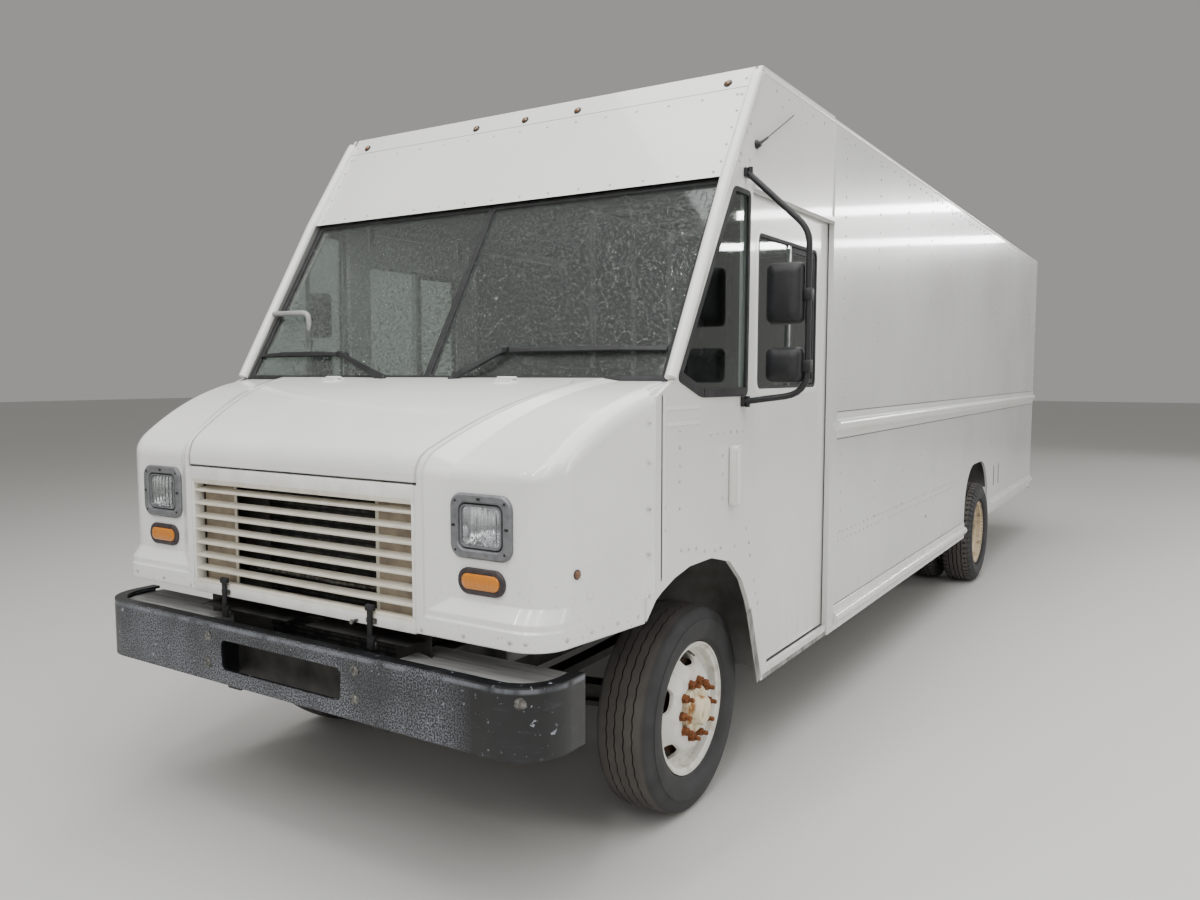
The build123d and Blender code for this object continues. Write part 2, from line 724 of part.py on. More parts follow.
def ramp_outline(margin, front, edge, bend, lip, mid, back):
    """One end of the ramp beside the middle, as a wire that leans with the hood line."""

    def place(y, z):
        return (edge_x(y, margin), at(y), z)

    return Wire(
        [
            Line(place(front, nose_low), place(front, edge)),
            ThreePointArc(place(front, edge), place(*bend), place(*lip)),
            ThreePointArc(place(*lip), place(*mid), place(*back)),
            Line(place(*back), place(back[0], nose_low)),
            Line(place(back[0], nose_low), place(front, nose_low)),
        ]
    )


def side_ramp(inset):
    """The ramp that runs from the proud middle down to the left lamp pod, tucked into both."""
    drop = inset + tuck
    front = nose_front + drop
    inner_end = ramp_outline(
        bulge_margin - inset - ramp_start,
        front,
        hood_edge_z + 20 - drop,
        (front + 15, hood_edge_z + 76 - drop),
        (hood_lip_y, hood_lip_z - drop),
        (hood_mid_y, hood_mid_z - drop),
        (nose_back_y, hood_back_z - drop),
    )
    pod_front = lamp_front + drop
    round_y = lamp_front + 26
    outer_end = ramp_outline(
        bulge_margin + ramp_width - inset,
        pod_front,
        pod_lip_z - 40 - inset,
        (pod_front + 7, pod_lip_z - 13 - inset),
        (round_y, arc_height(pod_line, round_y) - drop - 1),
        (pod_mid_y, pod_mid_z - drop),
        (nose_back_y, nose_back_z - drop),
    )
    return Solid.make_loft([inner_end, outer_end], ruled=True)


def nose_form(inset, rounding):
    """The nose as a full form, pulled in by inset all round."""
    pods = plan_slab(nose_plan(lamp_front, inset), (nose_low - 1, 1800)) & across(pod_profile(inset))
    edges = pods.edges().filter_by(lambda e: e.center().Z > 1400)
    top_edges = edges.filter_by(lambda e: e.bounding_box().size.Y > 1)
    top_edges = [e for e in top_edges if abs(e.center().Y - at(nose_back_y)) > 20]
    front_edges = edges.filter_by(Axis.X).filter_by(lambda e: e.center().Y < at(-1000))
    pods = fillet(list(top_edges) + list(front_edges), rounding)
    foot = plan_slab(nose_plan(nose_front, inset), (nose_low, foot_top))
    set_back = nose_plan(nose_front + foot_proud, inset)
    foot_face = Pos(0, 0, foot_top) * nose_plan(nose_front, inset)
    crease = loft([foot_face, Pos(0, 0, foot_crease) * set_back], ruled=True)
    rise = plan_slab(set_back, (foot_crease, ledge_low - inset))
    ledge_foot = Pos(0, 0, ledge_low - inset) * set_back
    ledge = loft([ledge_foot, Pos(0, 0, ledge_high - inset) * nose_plan(lamp_front, inset)], ruled=True)
    middle = wedge(bulge_margin - inset, nose_front + inset, nose_back_y, (nose_low, 1800))
    middle = middle & across(hood_profile(nose_front + inset, inset, nose_low))
    return pods + foot + crease + rise + ledge + middle + both(side_ramp(inset))


def nose():
    outer = nose_form(0.0, pod_rounding)
    inner = nose_form(nose_wall, inner_rounding)
    floor_cut = block((-half_width, half_width), (nose_front - 100, 0), (nose_low - 60, nose_low))
    shell = outer - inner - floor_cut
    wall_x = half_width - nose_wall
    back_y = (screen_foot_y - 60, screen_foot_y + 60)
    shell = shell - block((-wall_x, wall_x), back_y, (nose_low - 10, nose_back_z - 60))
    hole_z = (hood_edge_z - hood_gap, 1900)
    hood_hole = wedge(hood_gap, nose_front - 60, hood_rear_y + hood_gap, hole_z, hood_corner + hood_gap)
    grille_x = grille_half + seat_gap
    grille_y = (nose_front - 60, nose_front + 200)
    grille_hole = block((-grille_x, grille_x), grille_y, (nose_low - 20, hood_edge_z + 10))
    shell = shell - hood_hole - grille_hole
    cheeks = block((half_width - 40, half_width + 40), (nose_seam, 0), (0, 2000))
    shell = shell - both(cheeks)
    arch_x = half_width + 10
    arch_clear = block((-arch_x, arch_x), (nose_seam - 60, nose_seam + 10), (nose_low - 10, foot_crease))
    return shell - arch_clear


parts["nose"] = nose()


# Two barrel hinges carry the hood at its rear edge
hinge_half = 34.0
hinge_lug = 10.0
hood_hinge_x = 480.0
hood_pin = 3.0
hood_barrel = 6.5
hood_hinge_y = hood_rear_y + hood_gap / 2
hood_hinge_z = crown_z(hood_hinge_y) + hood_barrel + 1.5
for hinge_x in (-hood_hinge_x, hood_hinge_x):
    outer_x = hinge_half + seat_gap + hinge_lug
    fixed = cross_rod((hinge_x - outer_x, hinge_x + outer_x), hood_hinge_y, hood_hinge_z, hood_pin)
    for side in (-1, 1):
        lug_x = sorted((hinge_x + side * (hinge_half + seat_gap), hinge_x + side * outer_x))
        fixed = fixed + cross_rod(lug_x, hood_hinge_y, hood_hinge_z, hood_barrel)
        lug_z = (hood_hinge_z - 12, hood_hinge_z - 2)
        fixed = fixed + block(lug_x, (hood_hinge_y, hood_hinge_y + 22), lug_z)
    parts["nose"] = parts["nose"] + fixed


def hood():
    panel = wedge(0.0, nose_front, hood_rear_y, (hood_edge_z, 1900), hood_corner)
    panel = panel & across(hood_profile(nose_front, 0.0, nose_low))
    panel = panel - across(hood_profile(nose_front + hood_skin, hood_skin, nose_low))
    for hinge_x in (-hood_hinge_x, hood_hinge_x):
        x = (hinge_x - hinge_half, hinge_x + hinge_half)
        barrel = cross_rod(x, hood_hinge_y, hood_hinge_z, hood_barrel)
        leaf = block(x, (hood_hinge_y - 34, hood_hinge_y), (hood_hinge_z - 14, hood_hinge_z - 3))
        bore = cross_rod((x[0] - 1, x[1] + 1), hood_hinge_y, hood_hinge_z, hood_pin + seat_gap)
        panel = panel + barrel + leaf - bore
    return panel


parts["hood"] = hood()

# The grille: a frame with seven slats and blanking panels behind its ends
slat_count = 7
grille_low = nose_low - 6.0
opening_low = 965.0
opening_high = 1343.0
slat_pitch = (opening_high - opening_low) / (slat_count + 0.35)
slat_depth = 38.0
slat_edge = 9.0
slat_lift = 9.0
blank_from = 372.0


def grille():
    half = grille_half
    face = nose_front
    top_bar = block((-half, half), (face, face + 40), (opening_high, hood_edge_z - gap))
    low_bar = block((-half, half), (face, face + 40), (grille_low, opening_low))
    frame = top_bar + low_bar
    frame = frame + both(block((half - 16, half), (face, face + 60), (grille_low, hood_edge_z - gap)))
    for number in range(slat_count):
        z = opening_low + slat_pitch * (number + 0.75)
        slat = side_slab(
            [
                (face + 4, z - 2),
                (face + 4, z + slat_edge - 2),
                (face + 4 + slat_depth, z + slat_edge + slat_lift - 2),
                (face + 4 + slat_depth, z + slat_lift),
            ],
            (-half + 10, half - 10),
        )
        frame = frame + slat
    blank = block((blank_from, half - 6), (face + 44, face + 50), (opening_low - 20, opening_high + 20))
    stile = block((blank_from, blank_from + 14), (face + 12, face + 50), (opening_low - 4, opening_high + 4))
    frame = frame + both(blank + stile)
    return frame


parts["grille"] = grille()

# Headlights and turn signals are set in the pods
lamp_x = corner_side_x - 260.0
lamp_z = 1288.0
signal_z = 1112.0


def headlights():
    bezel = Pos(lamp_x, lamp_z) * RectangleRounded(246, 206, 44)
    glass = Pos(lamp_x, lamp_z) * RectangleRounded(172, 124, 18)
    body = front_slab(bezel, (lamp_front - 13, lamp_front - seat_gap))
    body = body - front_slab(glass, (lamp_front - 20, lamp_front + 1))
    lens = Pos(lamp_x, lamp_z) * RectangleRounded(180, 132, 20)
    lens = front_slab(lens, (lamp_front - 7, lamp_front + 70))
    body = body + lens
    return both(body)


def turn_signals():
    bezel = Pos(lamp_x, signal_z) * RectangleRounded(190, 86, 42)
    lens = Pos(lamp_x, signal_z) * RectangleRounded(150, 50, 24)
    body = front_slab(bezel, (lamp_front - 10, lamp_front - seat_gap))
    body = body + front_slab(lens, (lamp_front - 16, lamp_front - 9))
    return both(body)


parts["headlights"] = headlights()
parts["turn_signals"] = turn_signals()
lamp_hole = Pos(lamp_x, lamp_z) * RectangleRounded(186, 138, 22)
lamp_hole = front_slab(lamp_hole, (lamp_front - 20, lamp_front + 40))
parts["nose"] = parts["nose"] - both(lamp_hole)

# The windscreen: a sloping frame with two panes
screen_run = screen_head_y - screen_foot_y
screen_rise = screen_head_z - screen_foot_z
screen_length = math.hypot(screen_run, screen_rise)
lean = math.degrees(math.atan2(screen_run, screen_rise))
screen_half = half_width - 34.0
frame_depth = 34.0
frame_edge = 42.0
divider = 44.0
glass_thickness = 8.0
pane_gap = 1.0
screen_plane = Plane(
    origin=(0, at((screen_foot_y + screen_head_y) / 2), (screen_foot_z + screen_head_z) / 2),
    x_dir=(1, 0, 0),
    z_dir=(0, -screen_rise, screen_run),
)
pane_width = screen_half - frame_edge - divider / 2
pane_height = screen_length - 2 * frame_edge
pane_x = divider / 2 + pane_width / 2


def windscreen_frame():
    outer = extrude(screen_plane * Rectangle(2 * screen_half, screen_length), -frame_depth)
    for side in (-1, 1):
        pane = screen_plane * Pos(side * pane_x, 0) * RectangleRounded(pane_width, pane_height, 45)
        outer = outer - extrude(pane, frame_depth + 5, both=True)
    return outer


def pane(side):
    face = RectangleRounded(pane_width - pane_gap, pane_height - pane_gap, 44)
    face = screen_plane * Pos(side * pane_x, 0) * face
    solid = extrude(face, -glass_thickness)
    shift = Vector(screen_plane.z_dir) * -10.0
    return Pos(shift.X, shift.Y, shift.Z) * solid


parts["windscreen_frame"] = windscreen_frame()

# The quarter windows, in the cab sides between windscreen and door
quarter_outline = [
    (24.0, 2488.0),
    (172.0, 2488.0),
    (160.0, 1684.0),
    (-250.0, 1686.0),
    (-432.0, 1748.0),
]
door_open_front = 205.0
door_open_rear = 1190.0
door_open_top = 2503.0
door_open_low = 490.0
sill_low = 441.0
quarter_radius = 22.0
# The door opening seen from the side, as (station, height)
doorway = [
    (door_open_front, door_open_top),
    (door_open_rear, door_open_top),
    (door_open_rear, door_open_low),
    (420.0, door_open_low),
    (291.0, 885.0),
    (218.0, 1161.0),
]
# The front wheel arch, from its front foot over the top to its rear foot
front_arch = [
    (-600.0, 300.0),
    (-600.0, 985.0),
    (-545.0, 1010.0),
    (-451.0, 1042.0),
    (-333.0, 1064.0),
    (-152.0, 1064.0),
    (18.0, 1022.0),
    (138.0, 925.0),
    (208.0, 820.0),
    (262.0, 700.0),
    (352.0, 430.0),
    (352.0, 300.0),
]
pillar_inner = screen_half + 2.0
screen_back = frame_depth + 2.0


# The fixed grab handle ahead of the doorway
handle_y = (-6.0, 50.0)
handle_z = (1248.0, 1485.0)


def cab_side():
    """The left cab side panel with its quarter window, doorway, arch, pillar and drip rail."""
    outline = [
        (nose_seam + seat_gap, sill_low),
        (nose_seam + seat_gap, 1690.0),
        (screen_foot_y - 60, 1722.0),
        (screen_foot_y, screen_foot_z),
        (screen_head_y, screen_head_z),
        (roof_front_y, roof_top - 2),
        (door_open_rear, roof_top - 2),
        (door_open_rear, sill_low),
    ]
    x = (half_width - skin, half_width)
    wide = (half_width - 60, half_width + 60)
    panel = side_slab(outline, x)
    pillar_outline = [
        (screen_foot_y, screen_foot_z),
        (screen_head_y, screen_head_z),
        (roof_front_y, roof_top - 2),
        (roof_front_y + 60, roof_top - 2),
        (screen_head_y + 62, screen_head_z),
        (screen_foot_y + 50, screen_foot_z - 8),
    ]
    panel = panel + side_slab(pillar_outline, (pillar_inner, half_width - 1))
    panel = panel - side_slab(quarter_outline, wide, quarter_radius)
    panel = panel - side_slab(doorway, wide)
    panel = panel - side_slab(front_arch, wide)
    drip = side_slab(
        [
            (door_open_front - 8, door_open_top + 4),
            (door_open_rear, door_open_top + 4),
            (door_open_rear, door_open_top + 26),
            (door_open_front - 8, door_open_top + 26),
        ],
        (half_width - 2, half_width + 16),
    )
    bar_outline = [
        (handle_y[0], handle_z[0]),
        (handle_y[1], handle_z[0]),
        (handle_y[1], handle_z[1]),
        (handle_y[0], handle_z[1]),
    ]
    handle = side_slab(bar_outline, (half_width + 20, half_width + 38), 22)
    for foot_z in ((handle_z[0] + 6, handle_z[0] + 44), (handle_z[1] - 44, handle_z[1] - 6)):
        foot = block((half_width - 4, half_width + 24), (handle_y[0] + 8, handle_y[1] - 8), foot_z)
        handle = handle + foot
    return panel + drip + handle


cab_side_left = cab_side()
parts["cab_side_left"] = cab_side_left
parts["cab_side_right"] = other_side(cab_side_left)


def quarter_glass():
    face = side_face(quarter_outline, quarter_radius)
    face = offset(face, -0.6)
    return extrude(Plane.YZ.offset(half_width - 14) * face, 6, dir=(1, 0, 0))


parts["cab_glass"] = pane(-1) + pane(1) + both(quarter_glass())

# The header closes the front between windscreen and roof
header_half = pillar_inner - seat_gap
header_outline = [
    (screen_head_y, screen_head_z),
    (roof_front_y, roof_top - 2),
    (roof_front_y + 24, roof_top - 2),
    (roof_front_y + 24, side_top - 10),
    (screen_head_y + 30, screen_head_z + 6),
]
parts["header"] = side_slab(header_outline, (-header_half, header_half))

# Roof, walls and floors of the body
roof_thickness = 38.0
roof_round = 30.0
roof_z = (roof_top - roof_thickness, roof_top)
roof = block((-half_width, half_width), (roof_front_y + 25, rear_face), roof_z)
roof = fillet(roof.edges().filter_by(Axis.Y).group_by(Axis.Z)[-1], roof_round)
wall_top = roof_top - roof_thickness - seat_gap
rear_wall_low = 500.0
arch_half = tyre_radius + 81.0
arch_top = axle_height + tyre_radius + 174.0
arch_round = 370.0
post_rear = 1290.0
post_proud = 7.0
wall_low = sill_low


def cargo_side():
    """The left load space wall with its front post, wheel arch and rear corner."""
    x = (half_width - skin, half_width)
    outline = [
        (door_open_rear + 0.3, wall_low),
        (door_open_rear + 0.3, wall_top),
        (rear_face - 40, wall_top),
        (rear_face - 40, rear_wall_low),
        (rear_station, rear_wall_low),
        (rear_station, wall_low),
    ]
    wall = side_slab(outline, x)
    arch_face = make_face(
        Polyline(
            (at(rear_station - arch_half), 200),
            (at(rear_station - arch_half), arch_top),
            (at(rear_station + arch_half), arch_top),
            (at(rear_station + arch_half), 200),
            close=True,
        )
    )
    upper = [corner for corner in arch_face.vertices() if corner.Y > arch_top - 1]
    arch_face = fillet(upper, arch_round)
    arch = extrude(Plane.YZ.offset(half_width - 80) * arch_face, 160, dir=(1, 0, 0))
    post_x = (half_width - 1, half_width + post_proud)
    post = block(post_x, (door_open_rear + 0.3, post_rear), (wall_low, wall_top))
    return wall - arch + post


cargo_side_left = cargo_side()
parts["cargo_side_left"] = cargo_side_left
parts["cargo_side_right"] = other_side(cargo_side_left)
cut_z = (roof_top - 90, roof_top + 20)
side_cut = both(block((half_width - skin - seat_gap, half_width + 5), (0, door_open_rear + 0.3), cut_z))
pillar_cut = both(block((pillar_inner - seat_gap, half_width + 5), (0, roof_front_y + 70), cut_z))
parts["roof"] = roof - side_cut - pillar_cut

# Half round rub rails run along both sides
belt_low = 1441.0
belt_high = 1566.0
rail_proud = 30.0


def rub_rail(y, low, high, bulge_low, bulge_high):
    """One rub rail: a flat strip with a half round along its middle."""
    strip = block((half_width + seat_gap, half_width + 6), y, (low, high))
    middle = (bulge_low + bulge_high) / 2
    root = half_width + 4
    face = make_face(
        [
            ThreePointArc((root, bulge_low), (half_width + rail_proud, middle), (root, bulge_high)),
            Line((root, bulge_high), (root, bulge_low)),
        ]
    )
    return strip + front_slab(face, y)


# The rub rails by front end, rear end, strip low and high, half round low and high
rub_table = [
    (post_rear + 1, rear_face - 42, belt_low, belt_high, 1473.0, 1537.0),
    (door_open_rear + 105, rear_station - arch_half - 8, 441.0, 563.0, 472.0, 533.0),
    (rear_station + arch_half + 60, rear_face - 42, 540.0, 640.0, 556.0, 617.0),
]
rub_rails = None
for start, end, low, high, bulge_low, bulge_high in rub_table:
    one = rub_rail((start, end), low, high, bulge_low, bulge_high)
    rub_rails = one if rub_rails is None else rub_rails + one
parts["rub_rails"] = both(rub_rails)

floor_low = rail_top
floor_top = floor_low + 60.0
door_skin_out = half_width - skin - 7.0
door_skin_in = door_skin_out - 24.0
pocket_x = door_skin_in - gap
pocket_end = 2260.0
box_in = rear_inner_x - 144.7
box_half_y = tyre_radius + 101.0
box_top = axle_height + tyre_radius + 196.0
box_wall = 12.0


def cargo_floor():
    """The load floor with a box over each pair of rear wheels and a pocket beside each sliding door."""
    inner = half_width - skin - seat_gap
    slab = block((-inner, inner), (pocket_end, rear_face - 41), (floor_low + seat_gap, floor_top))
    slab_z = (floor_low + seat_gap, floor_top)
    slab = slab + block((-pocket_x, pocket_x), (door_open_rear, pocket_end), slab_z)
    box_y = (rear_station - box_half_y, rear_station + box_half_y)
    hole_y = (box_y[0] + box_wall, box_y[1] - box_wall)
    hole = block((box_in + box_wall, inner + 5), hole_y, (0, box_top - box_wall))
    box = block((box_in, inner), box_y, (floor_low + seat_gap, box_top))
    return slab + both(box) - both(hole)


parts["cargo_floor"] = cargo_floor()

# Cab floor with wheel houses, step wells, toe board and engine cover
house_in = rail_half + 88.0
house_out = pocket_x
house_top = axle_height + tyre_radius + 250.0
house_front = nose_seam + 3
house_rear = tyre_radius + 57.0
well_in = muffler_x + 60.0
well_floor = 455.0
sheet = 12.0
toe_y = -455.0
cover_half = 380.0
cover_rear = 330.0
cab_floor_rear = door_open_rear - seat_gap


def cab_floor():
    slab = block((-house_out, house_out), (toe_y, cab_floor_rear), (floor_low + seat_gap, floor_top))
    tunnel = block((-cover_half, cover_half), (toe_y, cover_rear), (floor_low + seat_gap, cover_top))
    inner_x = (-cover_half + sheet, cover_half - sheet)
    inner_z = (floor_low - 50, cover_top - sheet)
    tunnel_inner = block(inner_x, (toe_y - 50, cover_rear - sheet), inner_z)
    house = block((house_in, house_out), (house_front, house_rear), (floor_low - 90, house_top))
    house_hole_y = (house_front - 1, house_rear - sheet)
    house_hole = block((house_in + sheet, house_out + 60), house_hole_y, (0, house_top - sheet))
    well = block((well_in, house_out), (house_rear - 1, cab_floor_rear), (well_floor, floor_top))
    well_hole_y = (house_rear, cab_floor_rear - sheet)
    well_hole = block((well_in + sheet, house_out + 60), well_hole_y, (well_floor + sheet, floor_top + 60))
    toe_x = half_width - skin - seat_gap
    toe = block((-toe_x, toe_x), (toe_y, toe_y + sheet), (floor_low + seat_gap, 1700))
    toe_hole = block(inner_x, (toe_y - 5, toe_y + 60), inner_z)
    body = slab + tunnel + both(house) + both(well) + toe
    return body - tunnel_inner - both(house_hole) - both(well_hole) - toe_hole


parts["cab_floor"] = cab_floor()

# The cab doors hang on rollers from tracks and slide back inside the load space walls
door_front = 186.0
door_rear = 1230.0
door_low = 497.0
door_high = 2516.0
track_lip = 2526.0
track_sheet = 6.0
roller_radius = 12.0
roller_x = (door_skin_in + 6.0, door_skin_in + 18.0)
hanger_x = (door_skin_in - 7.0, door_skin_in + 1.0)
track_back = half_width - skin - seat_gap
track = block((track_back - track_sheet, track_back), (door_front, pocket_end), (track_lip, track_lip + 52))
track_foot_z = (track_lip, track_lip + track_sheet)
track = track + block((door_skin_in + 5, track_back), (door_front, pocket_end), track_foot_z)
parts["door_tracks"] = both(track)
window_y = (296.0, 1076.0)
window_z = (1672.0, 2386.0)
window_edge = 34.0


def cab_door():
    """The left sliding door with its window opening."""
    outline = [
        (door_front, door_high),
        (door_rear, door_high),
        (door_rear, door_low),
        (408.0, door_low),
        (276.0, 885.0),
        (door_front + 14, 1161.0),
        (door_front, 1230.0),
    ]
    panel = side_slab(outline, (door_skin_in, door_skin_out))
    opening = [
        (window_y[0] + window_edge, window_z[1] - window_edge),
        (window_y[1] - window_edge, window_z[1] - window_edge),
        (window_y[1] - window_edge, window_z[0] + window_edge),
        (window_y[0] + window_edge, window_z[0] + window_edge),
    ]
    panel = panel - side_slab(opening, (door_skin_in - 20, door_skin_out + 20), 30)
    roller_z = track_lip + track_sheet + seat_gap + roller_radius
    for station in (door_front + 160, door_rear - 160):
        hanger = block(hanger_x, (station - 20, station + 20), (door_high - 60, roller_z + 14))
        axle = cross_rod((hanger_x[0] + 1, roller_x[1]), station, roller_z, 5)
        roller = cross_rod(roller_x, station, roller_z, roller_radius)
        panel = panel + hanger + axle + roller
    return panel


def door_glass():
    y = (window_y[0] + window_edge, window_y[1] - window_edge)
    z = (window_z[0] + window_edge, window_z[1] - window_edge)
    outline = [(y[0], z[1]), (y[1], z[1]), (y[1], z[0]), (y[0], z[0])]
    face = offset(side_face(outline, 30), -0.6)
    middle = (door_skin_in + door_skin_out) / 2
    pane_solid = extrude(Plane.YZ.offset(middle - 3) * face, 6, dir=(1, 0, 0))
    sash_y = y[0] + (y[1] - y[0]) * 0.5
    return pane_solid + block((middle - 9, middle + 9), (sash_y - 12, sash_y + 12), (z[0] + 1, z[1] - 1))


parts["cab_door_left"] = cab_door()
parts["cab_door_right"] = other_side(cab_door())
parts["door_glass_left"] = door_glass()
parts["door_glass_right"] = other_side(door_glass())

# The rear frame and its two swinging doors
post_width = 95.0
rear_head = 190.0
rear_sill = 90.0
frame_front = rear_face - 40
rear_door_thick = 32.0
hinge_x = half_width - 55.0
hinge_y = rear_face + 32.0
hinge_radius = 9.0
hinge_pin = 5.0
hinge_tube = 60.0
hinge_lug_height = 14.0
door_overlap = 22.0
rear_low = 500.0
sill_top = floor_top + 10.0
rear_door_z = (sill_top - door_overlap, wall_top - rear_head + door_overlap)
hinge_heights = (rear_door_z[0] + 160, (rear_door_z[0] + rear_door_z[1]) / 2, rear_door_z[1] - 160)


def rear_frame():
    outer = block((-half_width, half_width), (frame_front + seat_gap, rear_face), (rear_low, wall_top))
    hole_x = (-half_width + post_width, half_width - post_width)
    hole_y = (frame_front - 50, rear_face + 50)
    hole = block(hole_x, hole_y, (sill_top, wall_top - rear_head))
    below = block(hole_x, hole_y, (0, floor_low - 15))
    frame = outer - hole - below
    edges = frame.edges().filter_by(Axis.Z).filter_by(lambda e: abs(e.center().X) > half_width - 1)
    frame = fillet(edges.filter_by(lambda e: e.center().Y > at(rear_face - 1)), 24)
    fixed = None
    for height in hinge_heights:
        pin_z = hinge_tube / 2 + seat_gap + hinge_lug_height
        one = Pos(hinge_x, at(hinge_y), height) * Cylinder(hinge_pin, 2 * pin_z)
        for side in (-1, 1):
            z = sorted((height + side * (hinge_tube / 2 + seat_gap), height + side * pin_z))
            one = one + Pos(hinge_x, at(hinge_y), sum(z) / 2) * Cylinder(hinge_radius, z[1] - z[0])
            one = one + block((hinge_x - hinge_radius, hinge_x + hinge_radius), (rear_face - 2, hinge_y), z)
        fixed = one if fixed is None else fixed + one
    return frame + both(fixed)


parts["rear_frame"] = rear_frame()



def rear_door():
    """The left rear door with its window, hinges on its outer edge."""
    x = (4.0, hinge_x - 18)
    y = (rear_face + 6, rear_face + 6 + rear_door_thick)
    z = rear_door_z
    door = block(x, y, z)
    window = Pos((x[0] + x[1]) / 2, 2150) * RectangleRounded(520, 480, 50)
    door = door - front_slab(window, (rear_face - 10, rear_face + 100))
    glass = Pos((x[0] + x[1]) / 2, 2150) * RectangleRounded(520, 480, 50)
    glass = front_slab(glass, (y[0] + 10, y[0] + 16))
    door = door + glass
    for height in hinge_heights:
        strap = block((x[1] - 120, hinge_x), (y[1] - 8, y[1] + 0.5), (height - 30, height + 30))
        tube = Pos(hinge_x, at(hinge_y), height) * Cylinder(hinge_radius, hinge_tube)
        bore = Pos(hinge_x, at(hinge_y), height) * Cylinder(hinge_pin + seat_gap, hinge_tube + 10)
        door = door + strap + tube - bore
    rod_x = x[0] + 90
    door = door + rod((rod_x, y[1] + 14, z[0] + 40), (rod_x, y[1] + 14, z[1] - 40), 9)
    for height in (z[0] + 60, (z[0] + z[1]) / 2, z[1] - 60):
        door = door + block((rod_x - 22, rod_x + 22), (y[1] - 1, y[1] + 20), (height - 20, height + 20))
    return door


parts["rear_door_left"] = rear_door()
parts["rear_door_right"] = other_side(rear_door())

lamp_pod = block((half_width - 90, half_width - 10), (rear_face + seat_gap, rear_face + 5), (620, 790))
rear_lights = lamp_pod
for z in (660.0, 750.0):
    lamp = Rot(90, 0, 0) * Cylinder(34, 12)
    rear_lights = rear_lights + Pos(half_width - 50, at(rear_face + 9), z) * lamp
parts["rear_lights"] = both(rear_lights)

# Mirrors on tubular arms
mirror_x = half_width + 255.0
mirror_y = 160.0
arm_radius = 12.0


def mirror_arm():
    """The left mirror arm with its two heads."""
    top = (half_width + 8, 124.0, 2556.0)
    bend_top = (mirror_x, mirror_y, 2322.0)
    bend_low = (mirror_x, mirror_y, 1700.0)
    foot = (half_width + 8, 120.0, 1656.0)
    arm = rod(top, bend_top, arm_radius) + rod(bend_top, bend_low, arm_radius)
    arm = arm + rod(bend_low, foot, arm_radius)
    for point in (bend_top, bend_low):
        arm = arm + Pos(point[0], at(point[1]), point[2]) * Sphere(arm_radius + 1)
    bracket_x = (half_width + seat_gap, half_width + 14)
    bracket = block(bracket_x, (100, 148), (2535, 2580)) + block(bracket_x, (96, 144), (1632, 1680))
    heads = None
    for low, high in ((1958.0, 2192.0), (1728.0, 1868.0)):
        middle = (low + high) / 2
        head = Pos(mirror_x - 105, at(mirror_y - 12), middle) * Box(170, 62, high - low)
        head = fillet(head.edges(), 24)
        clamp = rod((mirror_x - 60, mirror_y, middle), (mirror_x, mirror_y, middle), 10)
        collar = Pos(mirror_x, at(mirror_y), middle) * Cylinder(arm_radius + 8, 44)
        head = head + clamp + collar
        heads = head if heads is None else heads + head
    return arm + bracket + heads


parts["mirrors"] = both(mirror_arm())

# Wipers stand on the cowl and lie along the foot of the windscreen, as
# (pivot x, elbow x, elbow height, blade from, blade to)
wiper_table = [
    (-209.0, -566.0, 1850.0, -screen_half + 21, -520.0),
    (172.0, 385.0, 1854.0, 330.0, screen_half - 29),
]
wiper_clear = 13.0
wiper_post_y = -490.0
wiper_post_radius = 14.0
wiper_arm_radius = 8.0
wiper_blade_half = 6.0


def on_screen(x, height, clear):
    """A point in front of the windscreen, as (x, station, height)."""
    share = (height - screen_foot_z) / screen_rise
    y = screen_foot_y + screen_run * share
    return (x, y - clear * screen_rise / screen_length, height + clear * screen_run / screen_length)


wipers = None
for pivot_x, elbow_x, height, blade_from, blade_to in wiper_table:
    post_low = crown_z(wiper_post_y + wiper_post_radius) + seat_gap
    post_top = (pivot_x, wiper_post_y, post_low + 24)
    one = rod((pivot_x, wiper_post_y, post_low), post_top, wiper_post_radius)
    elbow = on_screen(elbow_x, height, wiper_clear)
    one = one + rod((pivot_x, wiper_post_y, post_low + 16), elbow, wiper_arm_radius)
    one = one + Pos(elbow[0], at(elbow[1]), elbow[2]) * Rot(90, 0, 0) * Cylinder(12, 16)
    blade_y = elbow[1]
    blade_span = (blade_y - wiper_blade_half, blade_y + wiper_blade_half)
    blade = block((blade_from, blade_to), blade_span, (elbow[2] - 8, elbow[2] + 8))
    one = one + blade
    wipers = one if wipers is None else wipers + one
parts["wipers"] = wipers

# Dashboard, steering wheel and seat
dash_outline = [
    (toe_y + sheet + seat_gap, 1560.0),
    (toe_y + sheet + seat_gap, 1700.0),
    (-330.0, 1700.0),
    (-120.0, 1650.0),
    (-110.0, 1500.0),
    (-200.0, 1420.0),
    (toe_y + sheet + seat_gap, 1400.0),
]
parts["dashboard"] = side_slab(dash_outline, (-pocket_x + 36, pocket_x - 36))

wheel_centre = Vector(640.0, at(40.0), 1660.0)
column_foot = Vector(640.0, at(-200.0), 1250.0)
column_axis = wheel_centre - column_foot
wheel_plane = Plane(wheel_centre, z_dir=column_axis)
steering = wheel_plane * Torus(205, 14)
steering = steering + wheel_plane * Pos(0, 0, -14) * Cylinder(52, 40)
for turn in (0, 120, 240):
    steering = steering + wheel_plane * Rot(0, 0, turn + 90) * Pos(125, 0, 0) * Box(150, 30, 10)
column_low = house_top + 12.0
share = (wheel_centre.Z - column_low) / column_axis.Z
column_end = wheel_centre - column_axis * share
column_length = column_axis.length * share
column = Plane(column_end, z_dir=column_axis) * Cylinder(22, column_length - 10, align=on_end)
base = Pos(column_end.X, column_end.Y, (house_top + seat_gap + column_low) / 2 + 6) * Box(90, 90, 24)
parts["steering_wheel"] = steering + column + base

